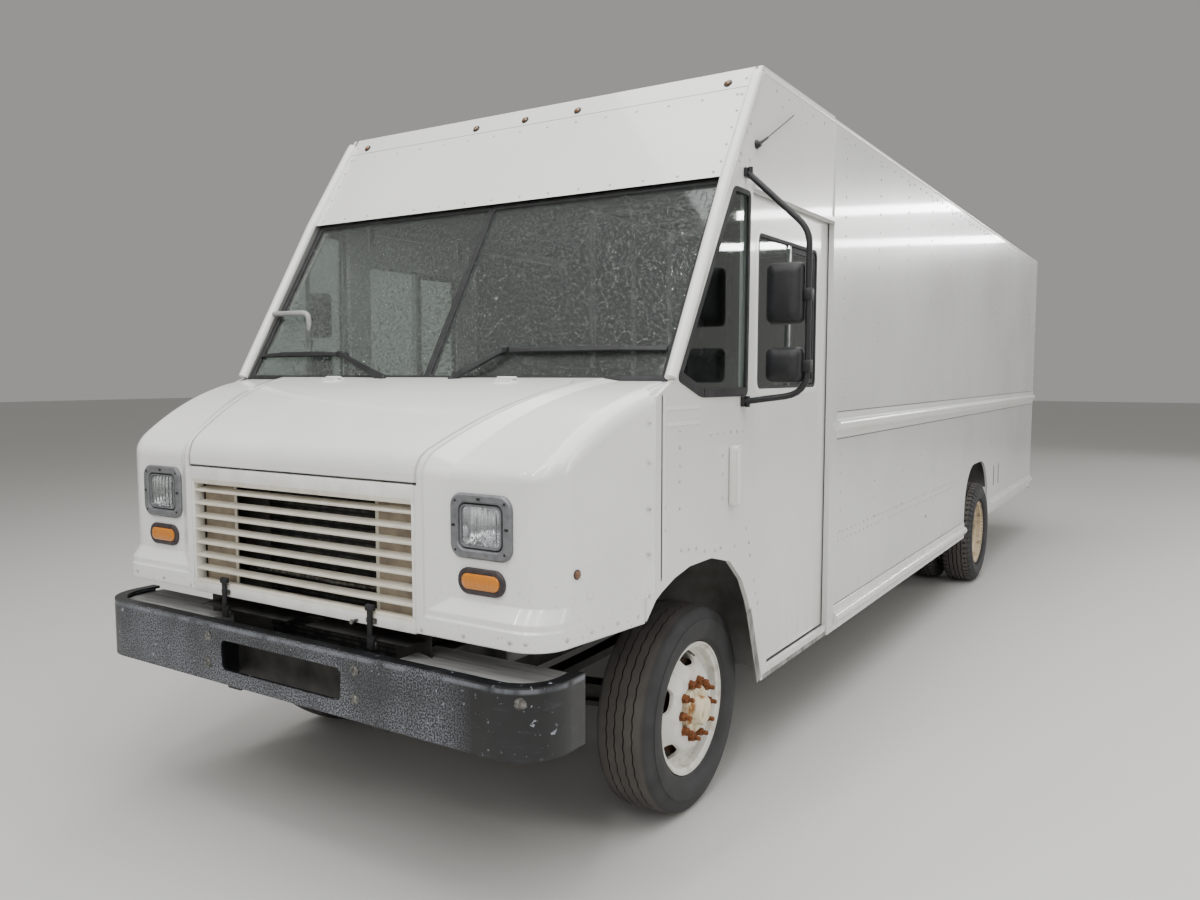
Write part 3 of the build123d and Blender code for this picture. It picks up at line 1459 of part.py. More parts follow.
seat_x = (420.0, 860.0)
seat_y = (house_rear - 6.0, house_rear + 424.0)
seat_base = house_top + 92.0
pedestal_x = (seat_x[0] + 60, seat_x[1] - 180)
pedestal = block(pedestal_x, (seat_y[0] + 40, seat_y[1] - 40), (floor_top + seat_gap, seat_base))
cushion = block((seat_x[0] - 20, seat_x[1]), seat_y, (seat_base + seat_gap, seat_base + 110))
cushion = fillet(cushion.edges(), 30)
back_y = (seat_y[1] + seat_gap, seat_y[1] + 110)
backrest = block((seat_x[0] - 10, seat_x[1] - 10), back_y, (seat_base + 30, seat_base + 720))
backrest = fillet(backrest.edges(), 35)
parts["driver_seat"] = pedestal + cushion + backrest

os.makedirs("parts", exist_ok=True)
for name, shape in parts.items():
    export_step(shape, "parts/" + name + ".step")
print(len(parts), "nodes")
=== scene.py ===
# %% [markdown]
# # A white walk-in step van
#
# This lesson dresses a CAD model of a walk-in step van until it looks like a real one.
# The CAD model is a frame of named parts in metres, with the road at z = 0 and the front facing -Y.
# Every part that has the right shape stays and gets a real finish here.
# Parts whose shape is too plain, such as the tyres, are covered by a finer piece that rides on the same body.

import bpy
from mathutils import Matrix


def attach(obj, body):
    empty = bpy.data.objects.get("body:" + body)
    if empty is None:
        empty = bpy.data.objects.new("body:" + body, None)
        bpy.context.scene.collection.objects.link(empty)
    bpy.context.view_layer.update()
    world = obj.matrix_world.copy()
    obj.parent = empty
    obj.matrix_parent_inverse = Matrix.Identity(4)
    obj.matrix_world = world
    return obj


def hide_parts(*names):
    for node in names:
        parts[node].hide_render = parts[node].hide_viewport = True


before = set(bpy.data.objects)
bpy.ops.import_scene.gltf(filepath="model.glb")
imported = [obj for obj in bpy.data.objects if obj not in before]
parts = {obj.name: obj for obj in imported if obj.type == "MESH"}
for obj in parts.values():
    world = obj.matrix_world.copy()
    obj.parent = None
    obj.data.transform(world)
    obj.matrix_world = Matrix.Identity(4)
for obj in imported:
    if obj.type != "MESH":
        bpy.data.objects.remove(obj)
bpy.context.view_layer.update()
print("parts in the frame:", len(parts))

# %% [markdown]
# ## Measuring along the van
#
# The CAD drawing gives every place as a station, which is a distance to the rear from a fixed point 48 mm
# behind the front axle. One small function turns such a place into a point of the frame, so the numbers here
# match the drawing. Most sizes in this lesson are in millimetres for the same reason.

# %% Places and tools
import math

import bmesh
import bpy
from mathutils import Matrix, Vector

STATION_ZERO = -3.535
FRONT_AXLE = STATION_ZERO - 0.048
REAR_AXLE = STATION_ZERO + 5.060
AXLE_HEIGHT = 0.419
WALL = 1175  # outer face of a side wall, in mm from the middle
SIDES = ((1, "left"), (-1, "right"))


def place(x, station, z):
    """A point from millimetres: sideways, station, and up."""
    return Vector((x / 1000, STATION_ZERO + station / 1000, z / 1000))


def spot(point):
    """A point of the frame. A plain tuple is read as millimetres for place."""
    return place(*point) if isinstance(point, tuple) else point


print("axles at y =", round(FRONT_AXLE, 3), round(REAR_AXLE, 3))

# %% [markdown]
# ## The camera
#
# The photograph was taken from the driver's side of the bonnet at eye height, with a moderate wide lens.
# A full-frame sensor with a 28 mm lens gives the same perspective, so the camera is set by numbers.
# Depth of field stays off, because everything in the picture is sharp.

# %% Set up the camera
camera_data = bpy.data.cameras.new("eye_level_camera")
camera_data.sensor_width = 36.0
camera_data.lens = 28.054
camera = bpy.data.objects.new("eye_level_camera", camera_data)
camera.location = (2.7088, -6.9007, 1.7674)
camera.rotation_euler = (math.pi / 2 - 0.0814, 0.0, 0.5654)
bpy.context.collection.objects.link(camera)
bpy.context.scene.camera = camera
print("camera height:", camera.location.z)

# %% [markdown]
# ## Floor and light
#
# A studio floor is a large pale plane. Soft light needs large lamps, so one wide panel hangs over the van,
# a second stands towards the camera, and the sky is a quiet grey that fills the shadows.
# Long thin panels beside the van give the soft streaks that gloss paint shows, three narrow tubes overhead
# show in the glass, and two tubes far behind draw the wavy bright lines along the upper side wall.


# %% Colours and nodes
def linear(code):
    """An sRGB hex colour as the linear numbers that Blender's sockets hold."""
    channels = []
    for start in (1, 3, 5):
        value = int(code[start:start + 2], 16) / 255
        channels.append(value / 12.92 if value <= 0.04045 else ((value + 0.055) / 1.055) ** 2.4)
    return (*channels, 1.0)


def add_node(tree, kind, inputs, output=0, **options):
    """Add one node and give its output. An input is a value, a hex colour or a socket to link, in order or by name."""
    made = tree.nodes.new("ShaderNode" + kind)
    for option, value in options.items():
        setattr(made, option, value)
    for socket, value in inputs.items() if isinstance(inputs, dict) else enumerate(inputs):
        if isinstance(value, bpy.types.NodeSocket):
            tree.links.new(value, made.inputs[socket])
        else:
            made.inputs[socket].default_value = linear(value) if isinstance(value, str) else value
    return made.outputs[output]


def new_finish(name, base, roughness, metallic=0.0, more=None):
    """A material with its main shader's plain values set."""
    finish = bpy.data.materials.new(name)
    finish.use_nodes = True
    shader = finish.node_tree.nodes["Principled BSDF"]
    values = {"Base Color": linear(base), "Roughness": roughness, "Metallic": metallic, **(more or {})}
    for socket, value in values.items():
        shader.inputs[socket].default_value = value
    return finish, finish.node_tree, shader


print("mid grey in linear light:", round(linear("#808080")[0], 3))

# %% Build the studio
world = bpy.data.worlds.new("grey_room")
world.use_nodes = True
bpy.context.scene.world = world
world.node_tree.nodes["Background"].inputs["Color"].default_value = linear("#DEDCD8")
world.node_tree.nodes["Background"].inputs["Strength"].default_value = 0.46

FLOOR_HALF = 60
floor_mesh = bpy.data.meshes.new("studio_floor")
corners = [(x * FLOOR_HALF, y * FLOOR_HALF, 0) for x, y in ((-1, -1), (1, -1), (1, 1), (-1, 1))]
floor_mesh.from_pydata(corners, [], [(0, 1, 2, 3)])
floor = bpy.data.objects.new("studio_floor", floor_mesh)
bpy.context.collection.objects.link(floor)
floor_mesh.materials.append(new_finish("sealed_pale_concrete", "#C9C8C4", 0.55)[0])

lamp_table = [
    # name, place, aim, size in metres, watts
    ("overhead_panel", (0.5, -1.0, 7.5), (0, 0, 0), (7.0, 13.0), 1060),
    ("front_panel", (3.5, -12.0, 5.0), (0, -3, 1.4), (7.0, 4.0), 190),
    ("side_strip_front", (9.0, -3.0, 4.2), (1.2, -1.0, 1.8), (0.9, 7.0), 200),
    ("side_strip_rear", (8.5, 5.0, 3.4), (1.2, 2.0, 1.8), (0.7, 6.0), 150),
    ("ceiling_tube_0", (-2.2, -7.6, 5.8), (-0.88, -3.9, 1.5), (0.10, 3.6), 75),
    ("ceiling_tube_1", (0.2, -7.6, 5.8), (0.08, -3.9, 1.5), (0.10, 3.6), 75),
    ("ceiling_tube_2", (2.6, -7.6, 5.8), (1.04, -3.9, 1.5), (0.10, 3.6), 75),
    ("far_tube_high", (6.4, 16.0, 5.7), (1.2, 0.5, 2.6), (6.4, 0.20), 170),
    ("far_tube_low", (6.4, 15.0, 4.8), (1.2, 0.5, 2.4), (6.4, 0.16), 110),
]
for name, where, aim, size, watts in lamp_table:
    data = bpy.data.lights.new(name, "AREA")
    data.shape = "RECTANGLE"
    data.size, data.size_y = size
    data.energy = watts
    panel = bpy.data.objects.new(name, data)
    panel.location = where
    panel.rotation_euler = (Vector(aim) - Vector(where)).to_track_quat("-Z", "Y").to_euler()
    bpy.context.collection.objects.link(panel)
print("lights:", len(bpy.data.lights))

# %% [markdown]
# ## Finishes
#
# Each finish starts from what the real material is and how its surface was made.
# Patterns use the object's own coordinates in metres, so a pattern of 5 mm is given as 5 mm and turned into
# a texture scale. Dust and stains are kept low on the body, where the road throws them.
# Two kinds of node do most of the work. Map Range takes a value, the two limits to stretch, and where they go to.
# Mix takes an amount at input 0 and two colours at 6 and 7, and gives the blend at output 2.


# %% Patterns for finishes
def grain(tree, size_mm, detail=4.0, stretch=(1, 1, 1)):
    """A noise whose blotches are about size_mm across."""
    where = add_node(tree, "TexCoord", [], "Object")
    scaled = add_node(tree, "VectorMath", [where, stretch], operation="MULTIPLY")
    return add_node(tree, "TexNoise", {"Vector": scaled, "Scale": 1000 / size_mm, "Detail": detail}, "Fac")


def stripes(tree, axis, pitch_mm, more=None):
    """Soft stripes across an axis, as far apart as pitch_mm."""
    where = add_node(tree, "TexCoord", [], "Object")
    inputs = {"Vector": where, "Scale": 1000 / pitch_mm / 6.283, **(more or {})}
    return add_node(tree, "TexWave", inputs, "Fac", wave_type="BANDS", bands_direction=axis)


print("pattern helpers ready")


# %% Give a shader its colour and relief
def paint(tree, shader, colour):
    """Give the shader its colour."""
    tree.links.new(colour, shader.inputs["Base Color"])


def relief(tree, shader, height, depth_mm, under=None):
    """Bump of a real depth from a height pattern, over another normal if there is one."""
    inputs = {"Strength": 1.0, "Distance": depth_mm / 1000, "Height": height, **({"Normal": under} if under else {})}
    tree.links.new(add_node(tree, "Bump", inputs), shader.inputs["Normal"])


print("colour and relief can be set")


# %% Find a place on the van
def axis_of(tree, letter):
    """How far a point of the frame lies along X, Y or Z."""
    where = add_node(tree, "TexCoord", [], "Object")
    return add_node(tree, "SeparateXYZ", [where], letter)


def from_middle(tree):
    """Distance from the van's middle plane."""
    return add_node(tree, "Math", [axis_of(tree, "X")], operation="ABSOLUTE")


def from_axle(tree, axle_y, axle_z):
    """Distance from an axle that lies along X."""
    where = add_node(tree, "TexCoord", [], "Object")
    for operation, by in (("SUBTRACT", (0, axle_y, axle_z)), ("MULTIPLY", (0, 1, 1))):
        where = add_node(tree, "VectorMath", [where, by], operation=operation)
    return add_node(tree, "VectorMath", [where], "Value", operation="LENGTH")


print("place helpers ready")


# %% Make a finish in two colours
def mottled(name, plain, pattern, limits, colours, bump=None, depth_mm=0.0, more=None):
    """A finish in two colours. plain is (colour, roughness, metallic); patterns are (size, detail, stretch)."""
    finish, tree, shader = new_finish(name, *plain, more=more)
    amount = add_node(tree, "MapRange", [grain(tree, *pattern), *limits])
    paint(tree, shader, add_node(tree, "Mix", {0: amount, 6: colours[0], 7: colours[1]}, 2, data_type="RGBA"))
    if bump:
        relief(tree, shader, grain(tree, *bump), depth_mm)
    return finish


print("finishes can be made")


# %% Baked enamel on aluminium sheet
# White enamel is smooth and glossy, and thin riveted sheet waves gently between its ribs.
def body_enamel(name, liner_x, liner_z, bright="#E8E8E4", dull="#E0E0DA", wave_mm=2.2):
    """White enamel outside, and a plain grey liner inside of a distance from the middle and below a height."""
    finish, tree, shader = new_finish(name, "#E4E4DF", 0.24, more={"Coat Weight": 0.5, "Coat Roughness": 0.06})
    z = axis_of(tree, "Z")
    patches = add_node(tree, "MapRange", [grain(tree, 900, 3), 0.35, 0.65])
    clean_white = add_node(tree, "Mix", {0: patches, 6: bright, 7: dull}, 2, data_type="RGBA")
    low_down = add_node(tree, "MapRange", [z, 0.45, 0.80, 0.4, 0.0])
    streaks = add_node(tree, "MapRange", [grain(tree, 60, 5, (1, 1, 0.12)), 0.42, 0.75])
    dirt = add_node(tree, "Math", [low_down, streaks], operation="MULTIPLY")
    outside = add_node(tree, "Mix", {0: dirt, 6: clean_white, 7: "#B9B1A2"}, 2, data_type="RGBA")
    behind = add_node(tree, "MapRange", [from_middle(tree), liner_x + 0.0004, liner_x])
    below = add_node(tree, "MapRange", [z, liner_z + 0.0004, liner_z])
    inside = add_node(tree, "Math", [behind, below], operation="MULTIPLY")
    paint(tree, shader, add_node(tree, "Mix", {0: inside, 6: outside, 7: "#6F6F6C"}, 2, data_type="RGBA"))
    relief(tree, shader, grain(tree, 420, 1.5, (1, 1, 0.6)), wave_mm)
    return finish


panel_enamel = body_enamel("baked_white_enamel_on_aluminium", 0.0, 0.0)
# The door and cab walls are painted a shade darker than the other panels, a painted reflection of the grey room.
door_enamel = body_enamel("white_enamel_on_door_with_grey_lining", 1.1185, 4.0, "#DFDEDA", "#D7D6D1")
cab_enamel = body_enamel("white_enamel_on_cab_with_grey_liner", 1.1555, 4.0, "#DFDEDA", "#D7D6D1")
# The long walls are painted a cooler, darker white that stands in for the grey room that they mirror: a painted
# reflection.
wall_enamel = body_enamel("darker_white_enamel_as_painted_reflection_with_grey_liner", 1.1555, 4.0, "#D5D5D2", "#CBCBC8", 3.5)
roof_enamel = body_enamel("white_enamel_over_grey_headlining", 2.0, 2.9785)
print("nodes in a white enamel:", len(roof_enamel.node_tree.nodes))

# %% Gel coat of the moulded nose
# Glass fibre moulding in white gel coat: glossy, softer reflections than sheet, faint orange peel.
# A mould has no knife edges, so a bevel node rounds the way light falls on every edge by 8 mm.
coat = {"Coat Weight": 0.6, "Coat Roughness": 0.08}
gel_coat, tree, shader = new_finish("white_gel_coat_on_glass_fibre", "#E5E5E2", 0.26, more=coat)
patches = add_node(tree, "MapRange", [grain(tree, 500, 4), 0.4, 0.72])
clean_gel = add_node(tree, "Mix", {0: patches, 6: "#E9E9E6", 7: "#E0E0DC"}, 2, data_type="RGBA")
speck = add_node(tree, "MapRange", [grain(tree, 14, 6), 0.62, 0.7, 0.0, 0.6])
low_down = add_node(tree, "MapRange", [axis_of(tree, "Z"), 0.9, 1.25, 1.0, 0.0])
stains = add_node(tree, "Math", [speck, low_down], operation="MULTIPLY")
paint(tree, shader, add_node(tree, "Mix", {0: stains, 6: clean_gel, 7: "#A8A296"}, 2, data_type="RGBA"))
soft_edge = add_node(tree, "Bevel", {"Radius": 0.008}, samples=4)
relief(tree, shader, grain(tree, 160, 2), 0.7, soft_edge)
print("nodes in the gel coat:", len(tree.nodes))

# %% Enamel of the grille
# The outer bars are white like the body, the slats are clean cream, and the blanking panels behind their ends
# are coloured a darker beige grey. Each belongs to a place, so height and depth pick the colour.
grille_enamel, tree, shader = new_finish("cream_enamel_on_steel", "#E1DCCF", 0.36)
z, aside = axis_of(tree, "Z"), from_middle(tree)
dust = add_node(tree, "MapRange", [grain(tree, 70, 5), 0.42, 0.7])
slat_colour = add_node(tree, "Mix", {0: dust, 6: "#DCD7C9", 7: "#CBC4B4"}, 2, data_type="RGBA")
blank_colour = add_node(tree, "Mix", {0: dust, 6: "#A0927F", 7: "#7D7263"}, 2, data_type="RGBA")
bar_colour = add_node(tree, "Mix", {0: dust, 6: "#E8E8E4", 7: "#DBDAD3"}, 2, data_type="RGBA")
far_back = add_node(tree, "MapRange", [axis_of(tree, "Y"), STATION_ZERO - 1.1095, STATION_ZERO - 1.1085])
far_aside = add_node(tree, "MapRange", [aside, 0.366, 0.369])
deep = add_node(tree, "Math", [far_back, far_aside], operation="MULTIPLY")
above = add_node(tree, "MapRange", [z, 0.952, 0.956])
below = add_node(tree, "MapRange", [z, 1.363, 1.359])
between = add_node(tree, "MapRange", [aside, 0.578, 0.572])
in_opening = add_node(tree, "Math", [above, below], operation="MULTIPLY")
in_opening = add_node(tree, "Math", [in_opening, between], operation="MULTIPLY")
colour = add_node(tree, "Mix", {0: deep, 6: slat_colour, 7: blank_colour}, 2, data_type="RGBA")
paint(tree, shader, add_node(tree, "Mix", {0: in_opening, 6: bar_colour, 7: colour}, 2, data_type="RGBA"))
relief(tree, shader, grain(tree, 12, 3), 0.15)
print("nodes in the grille's enamel:", len(tree.nodes))

# %% Worn black enamel of the bumper
# Black enamel on steel, sandblasted by years of grit: the flat face is peppered with tiny blue-grey chips of
# 1 to 3 mm, drawn at 6 mm so that they show. The bends are only scuffed, and a pale band under the rolled lip is partly
# worn bright and partly a painted highlight.
bumper_enamel, tree, shader = new_finish("worn_black_enamel_on_steel", "#17181A", 0.34)
z = axis_of(tree, "Z")
in_front = add_node(tree, "MapRange", [axis_of(tree, "Y"), STATION_ZERO - 1.2300, STATION_ZERO - 1.2345])
before_bend = add_node(tree, "MapRange", [axis_of(tree, "X"), 0.90, 0.78])
on_face = add_node(tree, "Math", [in_front, before_bend], operation="MULTIPLY")
peppered = add_node(tree, "MapRange", [grain(tree, 6, 5), 0.47, 0.55])
patchy = add_node(tree, "MapRange", [grain(tree, 210, 3), 0.30, 0.66, 0.3, 0.95])
speckle = add_node(tree, "Math", [peppered, patchy], operation="MULTIPLY")
speckle = add_node(tree, "Math", [speckle, on_face], operation="MULTIPLY")
small_chips = add_node(tree, "MapRange", [grain(tree, 22, 4), 0.66, 0.69])
chipped_areas = add_node(tree, "MapRange", [grain(tree, 130, 2), 0.45, 0.6])
chips = add_node(tree, "Math", [small_chips, chipped_areas], operation="MULTIPLY")
# A pale band under the rolled lip: partly wear, partly a painted highlight of the glossy lip.
above = add_node(tree, "MapRange", [z, 0.815, 0.822])
below = add_node(tree, "MapRange", [z, 0.834, 0.830])
under_lip = add_node(tree, "Math", [above, below], operation="MULTIPLY")
rubbed_and_highlit = add_node(tree, "MapRange", [grain(tree, 70, 4, (1, 1, 0.2)), 0.36, 0.56, 0.0, 0.45])
lip_wear_and_highlight = add_node(tree, "Math", [under_lip, rubbed_and_highlit], operation="MULTIPLY")
scuffs = add_node(tree, "MapRange", [grain(tree, 38, 6, (0.5, 0.5, 1.6)), 0.60, 0.72, 0.0, 0.35])
dust = add_node(tree, "MapRange", [grain(tree, 120, 4), 0.35, 0.7])
dusty_black = add_node(tree, "Mix", {0: dust, 6: "#0D0E10", 7: "#191A1D"}, 2, data_type="RGBA")
scuffed = add_node(tree, "Mix", {0: scuffs, 6: dusty_black, 7: "#36383C"}, 2, data_type="RGBA")
speckled = add_node(tree, "Mix", {0: speckle, 6: scuffed, 7: "#787B83"}, 2, data_type="RGBA")
bare_chips_and_lip_highlight = add_node(tree, "Math", [chips, lip_wear_and_highlight], operation="MAXIMUM")
paint(tree, shader, add_node(tree, "Mix", {0: bare_chips_and_lip_highlight, 6: speckled, 7: "#8D929B"}, 2, data_type="RGBA"))
relief(tree, shader, grain(tree, 7, 5), 0.3)
print("nodes in the bumper's enamel:", len(tree.nodes))

# %% Tyre rubber
# Carbon-black rubber goes matt and dark grey with road dust. Dust never reaches the floor of a groove, and there the
# rubber is painted near black, darker than clean rubber: partly clean rubber and partly painted shade. The grooves are
# found by their depth under the curve of the tread.
tyre_rubber, tree, shader = new_finish("dusty_carbon_black_rubber", "#2B2A28", 0.78)
sideways, aside = axis_of(tree, "X"), from_middle(tree)
curve = add_node(tree, "Math", [sideways, sideways], operation="MULTIPLY")
curve = add_node(tree, "Math", [curve, 0.827], operation="MULTIPLY")
tread_level = add_node(tree, "Math", [from_axle(tree, 0, 0), curve], operation="ADD")
below_tread = add_node(tree, "MapRange", [tread_level, 0.4170, 0.4145])
on_tread = add_node(tree, "MapRange", [aside, 0.082, 0.078])
in_groove = add_node(tree, "Math", [below_tread, on_tread], operation="MULTIPLY")
dust = add_node(tree, "MapRange", [grain(tree, 110, 4), 0.3, 0.75])
dusty_tread = add_node(tree, "Mix", {0: dust, 6: "#4A4744", 7: "#5C5853"}, 2, data_type="RGBA")
dusty_wall = add_node(tree, "Mix", {0: dust, 6: "#2A2A2B", 7: "#3A3A3B"}, 2, data_type="RGBA")
on_wall = add_node(tree, "MapRange", [aside, 0.086, 0.102])
dusty_rubber = add_node(tree, "Mix", {0: on_wall, 6: dusty_tread, 7: dusty_wall}, 2, data_type="RGBA")
# Groove floors are painted near black, partly clean rubber and partly painted shade.
paint(tree, shader, add_node(tree, "Mix", {0: in_groove, 6: dusty_rubber, 7: "#070707"}, 2, data_type="RGBA"))
relief(tree, shader, grain(tree, 5, 3), 0.12)
print("nodes in the tyre rubber:", len(tree.nodes))


# %% Enamelled steel wheels
def steel_wheel(name, enamel, grime, axle_y, face_x):
    """Enamelled steel disc wheel: grime in the dish, and rusty studs and nuts outside the disc face."""
    finish, tree, shader = new_finish(name, enamel, 0.42)
    far = from_axle(tree, axle_y, AXLE_HEIGHT)
    dirt = add_node(tree, "MapRange", [grain(tree, 55, 6), 0.52, 0.74])
    near_rim = add_node(tree, "MapRange", [far, 0.10, 0.24, 0.35, 1.0])
    dirt = add_node(tree, "Math", [dirt, near_rim], operation="MULTIPLY")
    painted = add_node(tree, "Mix", {0: dirt, 6: enamel, 7: grime}, 2, data_type="RGBA")
    outside = add_node(tree, "MapRange", [from_middle(tree), face_x, face_x + 0.001])
    in_circle = add_node(tree, "MapRange", [far, 0.134, 0.131])
    round_studs = add_node(tree, "Math", [in_circle, outside], operation="MULTIPLY")
    patches = add_node(tree, "MapRange", [grain(tree, 9, 4), 0.35, 0.65])
    rust = add_node(tree, "Mix", {0: patches, 6: "#7A6A50", 7: "#3E2A1C"}, 2, data_type="RGBA")
    paint(tree, shader, add_node(tree, "Mix", {0: round_studs, 6: painted, 7: rust}, 2, data_type="RGBA"))
    relief(tree, shader, grain(tree, 8, 5), 0.5)
    return finish


front_wheel_enamel = steel_wheel("white_enamel_on_steel_wheel", "#DEDCD4", "#B4AB99", FRONT_AXLE, 1.0555)
rear_wheel_enamel = steel_wheel("tan_enamel_on_steel_wheel", "#C9B79A", "#7F6F58", REAR_AXLE, 3.0)
print("materials so far:", len(bpy.data.materials))

# %% Metals under the body
chassis_paint = mottled("dusty_black_chassis_enamel", ("#1B1B1C", 0.6),
                        (90, 5), (0.35, 0.7), ("#161616", "#3B3833"), (7, 5), 0.4)
cast_iron = mottled("raw_cast_iron_with_surface_rust", ("#4A4541", 0.75, 0.6),
                    (60, 6), (0.42, 0.62), ("#3D3A38", "#5B3F2C"), (3, 4), 0.3)
tank_aluminium = mottled("mill_finish_aluminium_tank", ("#8F8F8C", 0.42, 1.0),
                         (200, 5), (0.35, 0.7), ("#9A9A97", "#6A6862"), (20, 4), 0.3)
exhaust_steel = mottled("aluminised_steel_with_heat_stain", ("#6B5F55", 0.55, 1.0),
                        (90, 5), (0.38, 0.66), ("#7B746B", "#5A3D29"), (10, 4), 0.4)
rail_aluminium = mottled("satin_extruded_aluminium", ("#B9BABA", 0.33, 1.0), (70, 5, (1, 0.15, 1)),
                         (0.35, 0.7), ("#C4C5C5", "#9B9A97"), (4, 3, (1, 0.03, 1)), 0.1)
floor_sheet = mottled("ribbed_aluminium_floor_sheet", ("#8C8B88", 0.5, 0.5),
                      (120, 5), (0.35, 0.7), ("#8C8B88", "#6E6B66"), (5, 3), 0.3)

radiator_fins, tree, shader = new_finish("black_painted_aluminium_fins", "#1A1A1B", 0.5, 0.5)
# Real fins are about 1.5 mm apart; they are drawn 9 mm apart so that they show.
rows = stripes(tree, "Z", 9)
dust = add_node(tree, "MapRange", [grain(tree, 40, 4), 0.4, 0.7])
dusty_rows = add_node(tree, "Math", [rows, dust], operation="MULTIPLY")
paint(tree, shader, add_node(tree, "Mix", {0: dusty_rows, 6: "#121213", 7: "#4A4A48"}, 2, data_type="RGBA"))
relief(tree, shader, rows, 1.5)
print("materials so far:", len(bpy.data.materials))

# %% Rubber and plastics
step_plastic = mottled("weathered_grey_polyethylene", ("#8F8F8D", 0.6), (60, 3, (0.25, 3, 1)),
                       (0.35, 0.68), ("#A3A3A1", "#7F7F7E"), (14, 3), 0.2)
seal_rubber = mottled("aged_black_glazing_rubber", ("#1A1A1A", 0.62),
                      (40, 4), (0.45, 0.8), ("#121213", "#26262A"), (5, 3), 0.15)
black_moulding = mottled("grained_black_abs_moulding", ("#1B1B1C", 0.5),
                         (60, 4), (0.4, 0.75), ("#131316", "#202023"), (2.5, 2), 0.08)
dash_moulding = mottled("grained_grey_abs_moulding", ("#3C3C3E", 0.6),
                        (90, 5), (0.4, 0.75), ("#39393B", "#4E4D4B"), (3, 3), 0.2)
seat_vinyl = mottled("grained_black_vinyl", ("#1E1F22", 0.48),
                     (50, 5), (0.4, 0.75), ("#1C1D20", "#35353A"), (3, 4), 0.25)
print("materials so far:", len(bpy.data.materials))

# %% Glass and lamps
clear = {"Transmission Weight": 1.0, "IOR": 1.52}
window_glass, tree, shader = new_finish("tempered_soda_lime_glass", "#DCE9E3", 0.02, more=clear)
relief(tree, shader, grain(tree, 600, 1), 0.3)

# The lens of a sealed beam has upright flutes 11 mm apart pressed in it, which spread the light sideways.
clear = {"Transmission Weight": 0.95, "IOR": 1.5}
lamp_glass, tree, shader = new_finish("pressed_clear_lamp_glass", "#F4F6F7", 0.04, more=clear)
relief(tree, shader, stripes(tree, "X", 11), 1.2)
coat = {"Coat Weight": 0.5}
amber_lens = new_finish("amber_acrylic_lens", "#C87A20", 0.16, more=coat)[0]
red_lens = new_finish("red_acrylic_lens", "#8E1410", 0.16, more=coat)[0]
print("materials:", len(bpy.data.materials))

# %% Give every CAD part its finish
finish_of = {
    tyre_rubber: "front_left_tyre front_right_tyre rear_left_tyres rear_right_tyres",
    front_wheel_enamel: "front_left_rim front_right_rim",
    rear_wheel_enamel: "rear_left_rims rear_right_rims",
    chassis_paint: "frame_rails leaf_springs front_axle rear_axle driveshaft tie_rod",
    cast_iron: "knuckle_left knuckle_right engine",
    radiator_fins: "radiator",
    tank_aluminium: "fuel_tank",
    exhaust_steel: "exhaust",
    bumper_enamel: "front_bumper rear_bumper",
    step_plastic: "bumper_steps",
    gel_coat: "nose hood",
    grille_enamel: "grille",
    lamp_glass: "headlights",
    amber_lens: "turn_signals",
    red_lens: "rear_lights",
    seal_rubber: "windscreen_frame",
    window_glass: "cab_glass door_glass_left door_glass_right",
    cab_enamel: "cab_side_left cab_side_right",
    wall_enamel: "cargo_side_left cargo_side_right",
    roof_enamel: "roof",
    door_enamel: "cab_door_left cab_door_right",
    panel_enamel: "header rear_frame rear_door_left rear_door_right rub_rails",
    rail_aluminium: "door_tracks",
    floor_sheet: "cab_floor cargo_floor",
    black_moulding: "mirrors wipers steering_wheel",
    dash_moulding: "dashboard",
    seat_vinyl: "driver_seat",
}
dressed = 0
for finish, names in finish_of.items():
    for name in names.split():
        for slot in parts[name].material_slots:
            slot.material = finish
        dressed += 1
print("CAD parts with a finish:", dressed, "of", len(parts))

# %% [markdown]
# ## Making pieces
#
# Small hardware is built in bmesh, Blender's editable mesh. A few shapes cover nearly all of it: a block with
# rounded edges, a profile turned about an axis, a low dome for a rivet head, and a skin over a stack of outlines.
# Each piece gets a name, a finish and the moving part that it rides on.


# %% Put a piece in the scene
def mount(made, body, node=None):
    """Put an object in the scene, on the body that it rides on, and in place of a CAD part if it covers one."""
    bpy.context.collection.objects.link(made)
    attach(made, body)
    if node:
        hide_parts(node)
    return made


def smooth_mesh(name, shape, finish, sharp):
    """A mesh from an editable one, shaded smooth apart from edges sharper than an angle."""
    mesh = bpy.data.meshes.new(name)
    bmesh.ops.recalc_face_normals(shape, faces=shape.faces)
    shape.to_mesh(mesh)
    shape.free()
    mesh.shade_smooth()
    mesh.set_sharp_from_angle(angle=math.radians(sharp))
    mesh.materials.append(finish)
    return mesh


def finish_piece(name, shape, finish, slot, body="body", node=None):
    """Turn an editable mesh into a piece that rides on a body."""
    return mount(bpy.data.objects.new(name, smooth_mesh(name, shape, finish, 35)), body, node)


print("piece helpers ready")


# %% Blocks and turned shapes
def rounded_block(shape, low, high, radius, segments=2):
    """Add a block between two corners, with all its edges rounded."""
    size = high - low
    where = Matrix.Translation((low + high) / 2) @ Matrix.Diagonal((*size, 1.0))
    made = bmesh.ops.create_cube(shape, size=1.0, matrix=where)
    edges = list(dict.fromkeys(edge for corner in made["verts"] for edge in corner.link_edges))
    radius = min(radius, min(abs(v) for v in size) * 0.49)
    bmesh.ops.bevel(
        shape, geom=edges, offset=radius, segments=segments, profile=0.5, affect="EDGES", clamp_overlap=True
    )


def block(shape, across, stations, heights, radius, segments=2):
    """Add a rounded block from its limits in millimetres: sideways, along the van, and up."""
    low, high = (place(*corner) for corner in zip(sorted(across), stations, heights))
    rounded_block(shape, low, high, radius / 1000, segments)


